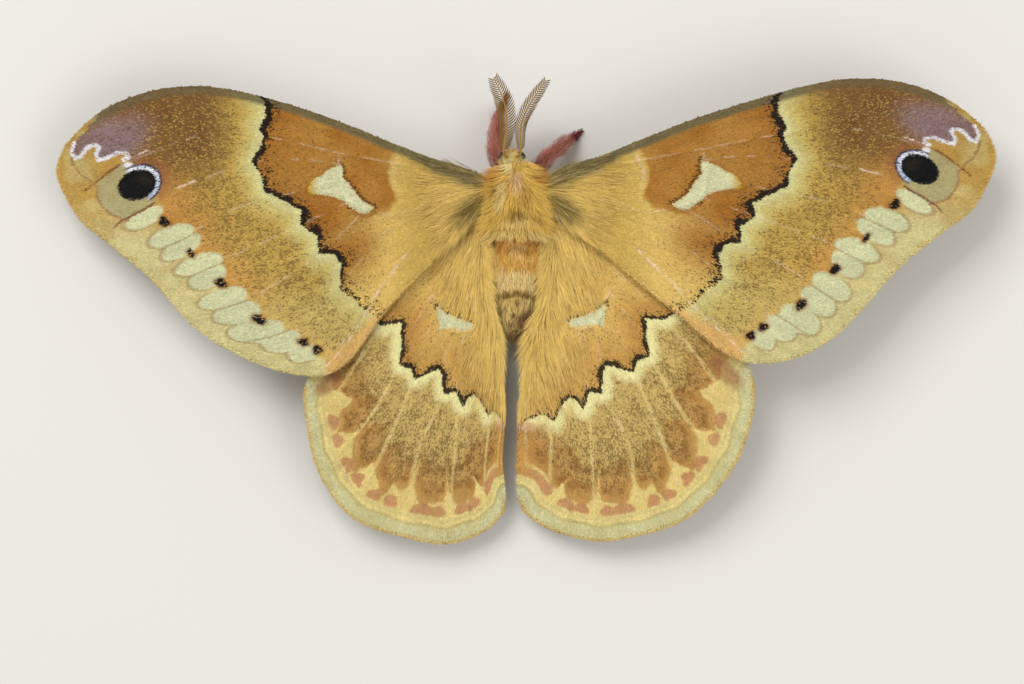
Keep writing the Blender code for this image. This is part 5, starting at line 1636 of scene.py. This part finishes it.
def eye(side):
    """An eye: a ball of close six-sided domes."""
    sign = -1 if side == "left" else 1
    bm = bmesh.new()
    bmesh.ops.create_icosphere(bm, subdivisions=4, radius=1.0)
    knots = [vert.co.copy() for vert in bm.verts]
    bmesh.ops.subdivide_edges(bm, edges=bm.edges, cuts=1, use_grid_fill=True)
    bmesh.ops.triangulate(bm, faces=bm.faces)
    fresh = np.array([tuple(vert.co.normalized()) for vert in bm.verts])
    tree = KDTree(len(knots))
    for index, knot in enumerate(knots):
        tree.insert(knot, index)
    tree.balance()
    gaps = np.array([tree.find(spot)[2] for spot in fresh])
    faces = np.array([[vert.index for vert in face.verts] for face in bm.faces])
    bm.free()
    centre = np.array(HEAD_CENTRE) + (sign * EYE_OUT, EYE_AHEAD, 0.0)
    places = centre + fresh * (EYE_RADIUS * (1.0 - 0.35 * gaps))[:, None]
    tints = np.tile(INK["eye"], (len(places), 1))
    settle(new_mesh(f"eye_{side}_facets", places, faces, tints, EYE, smooth=True), "eye", "eye_" + side)


def claws():
    """Two small hooked claws at the end of each foot."""
    paths = []
    for line in LEG_LINES.values():
        foot, way = line[-1], unit(line[-1] - line[-2])
        side = unit(np.cross(way, UP))
        for sign in (-1, 1):
            paths.append([foot + way * ahead + side * sign * aside + UP * up
                          for ahead, aside, up in CLAW_WAY])
    places, faces, _ = hairs(np.array(paths), UP, np.array(CLAW_WIDTHS)[None, :, None])
    settle(new_mesh("claws", places, faces, np.tile(INK["claw"], (len(places), 1)), EYE), "leg")


HAIR = coat_material("body_hair", 0.5, 0.08, mottle=0.1, specular=0.2)
SKIN = coat_material("body_skin", 0.75, 0.03, mottle=0.25, specular=0.15, bump=0.6)
ANTENNA = coat_material("antenna", 0.6, 0.0, mottle=0.15, specular=0.2, bump=0.3)
EYE = coat_material("eye", 0.25, 0.0, mottle=0.2, specular=0.35)


def build_body():
    """The body's skin and coats, eyes, antennae and claws."""
    places, faces = body_skin()
    colours = body_colours(places, body_parts(places)) * 0.7
    skin = new_mesh("body_skin", places, faces, colours, SKIN, smooth=True)
    settle(skin, "thorax_coat", "thorax", "head", "abdomen", *["leg_" + name for name in LEG_JOINTS])
    body_coats(places, faces)
    for side in ("left", "right"):
        eye(side)
        antenna(side)
    claws()


# Camera, light and floor

CAMERA_PLACE = (-1.35, -3.05, 500.0)
WING_PLANE = 7.0
VIEW_WIDTH = 102.4
SENSOR = 36.0
FLOOR_HALF = 1.5
STUDIO_COLOUR = (1.0, 0.99, 0.97, 1.0)
STUDIO_STRENGTH = 0.52
# Each lamp: place, width and power
LAMPS = {"key": ((-0.25, 0.35, 0.55), 0.4, 2.9), "fill": ((0.4, -0.2, 0.5), 0.4, 1.1)}


def linked(name, data):
    """A new object in the scene."""
    item = bpy.data.objects.new(name, data)
    bpy.context.scene.collection.objects.link(item)
    return item


def build_camera():
    """A camera straight above the wings, as wide as the photo's view."""
    data = bpy.data.cameras.new("camera")
    data.sensor_width = SENSOR
    data.lens = SENSOR * (CAMERA_PLACE[2] - WING_PLANE) / VIEW_WIDTH
    data.clip_start = 0.01
    camera = linked("camera", data)
    camera.location = Vector(CAMERA_PLACE) * MM
    bpy.context.scene.camera = camera


def build_floor():
    """A plain pale floor."""
    mesh = bpy.data.meshes.new("floor")
    bm = bmesh.new()
    bmesh.ops.create_grid(bm, x_segments=1, y_segments=1, size=FLOOR_HALF)
    bm.to_mesh(mesh)
    bm.free()
    material = bpy.data.materials.new("floor")
    material.use_nodes = True
    shader = material.node_tree.nodes["Principled BSDF"]
    shader.inputs["Base Color"].default_value = (*INK["floor"], 1.0)
    shader.inputs["Roughness"].default_value = 0.9
    mesh.materials.append(material)
    linked("floor", mesh)


def build_light():
    """Soft square lamps that face the moth, and a pale studio round it."""
    world = bpy.data.worlds.new("studio")
    world.use_nodes = True
    world.node_tree.nodes["Background"].inputs["Color"].default_value = STUDIO_COLOUR
    world.node_tree.nodes["Background"].inputs["Strength"].default_value = STUDIO_STRENGTH
    bpy.context.scene.world = world
    for name, (place, width, power) in LAMPS.items():
        data = bpy.data.lights.new(name, "AREA")
        data.size = width
        data.energy = power
        lamp = linked(name, data)
        lamp.location = place
        lamp.rotation_euler = (-Vector(place)).to_track_quat("-Z", "Y").to_euler()
    bpy.context.scene.view_settings.view_transform = "Standard"


build_camera()
build_floor()
build_light()
build_wings()
build_body()
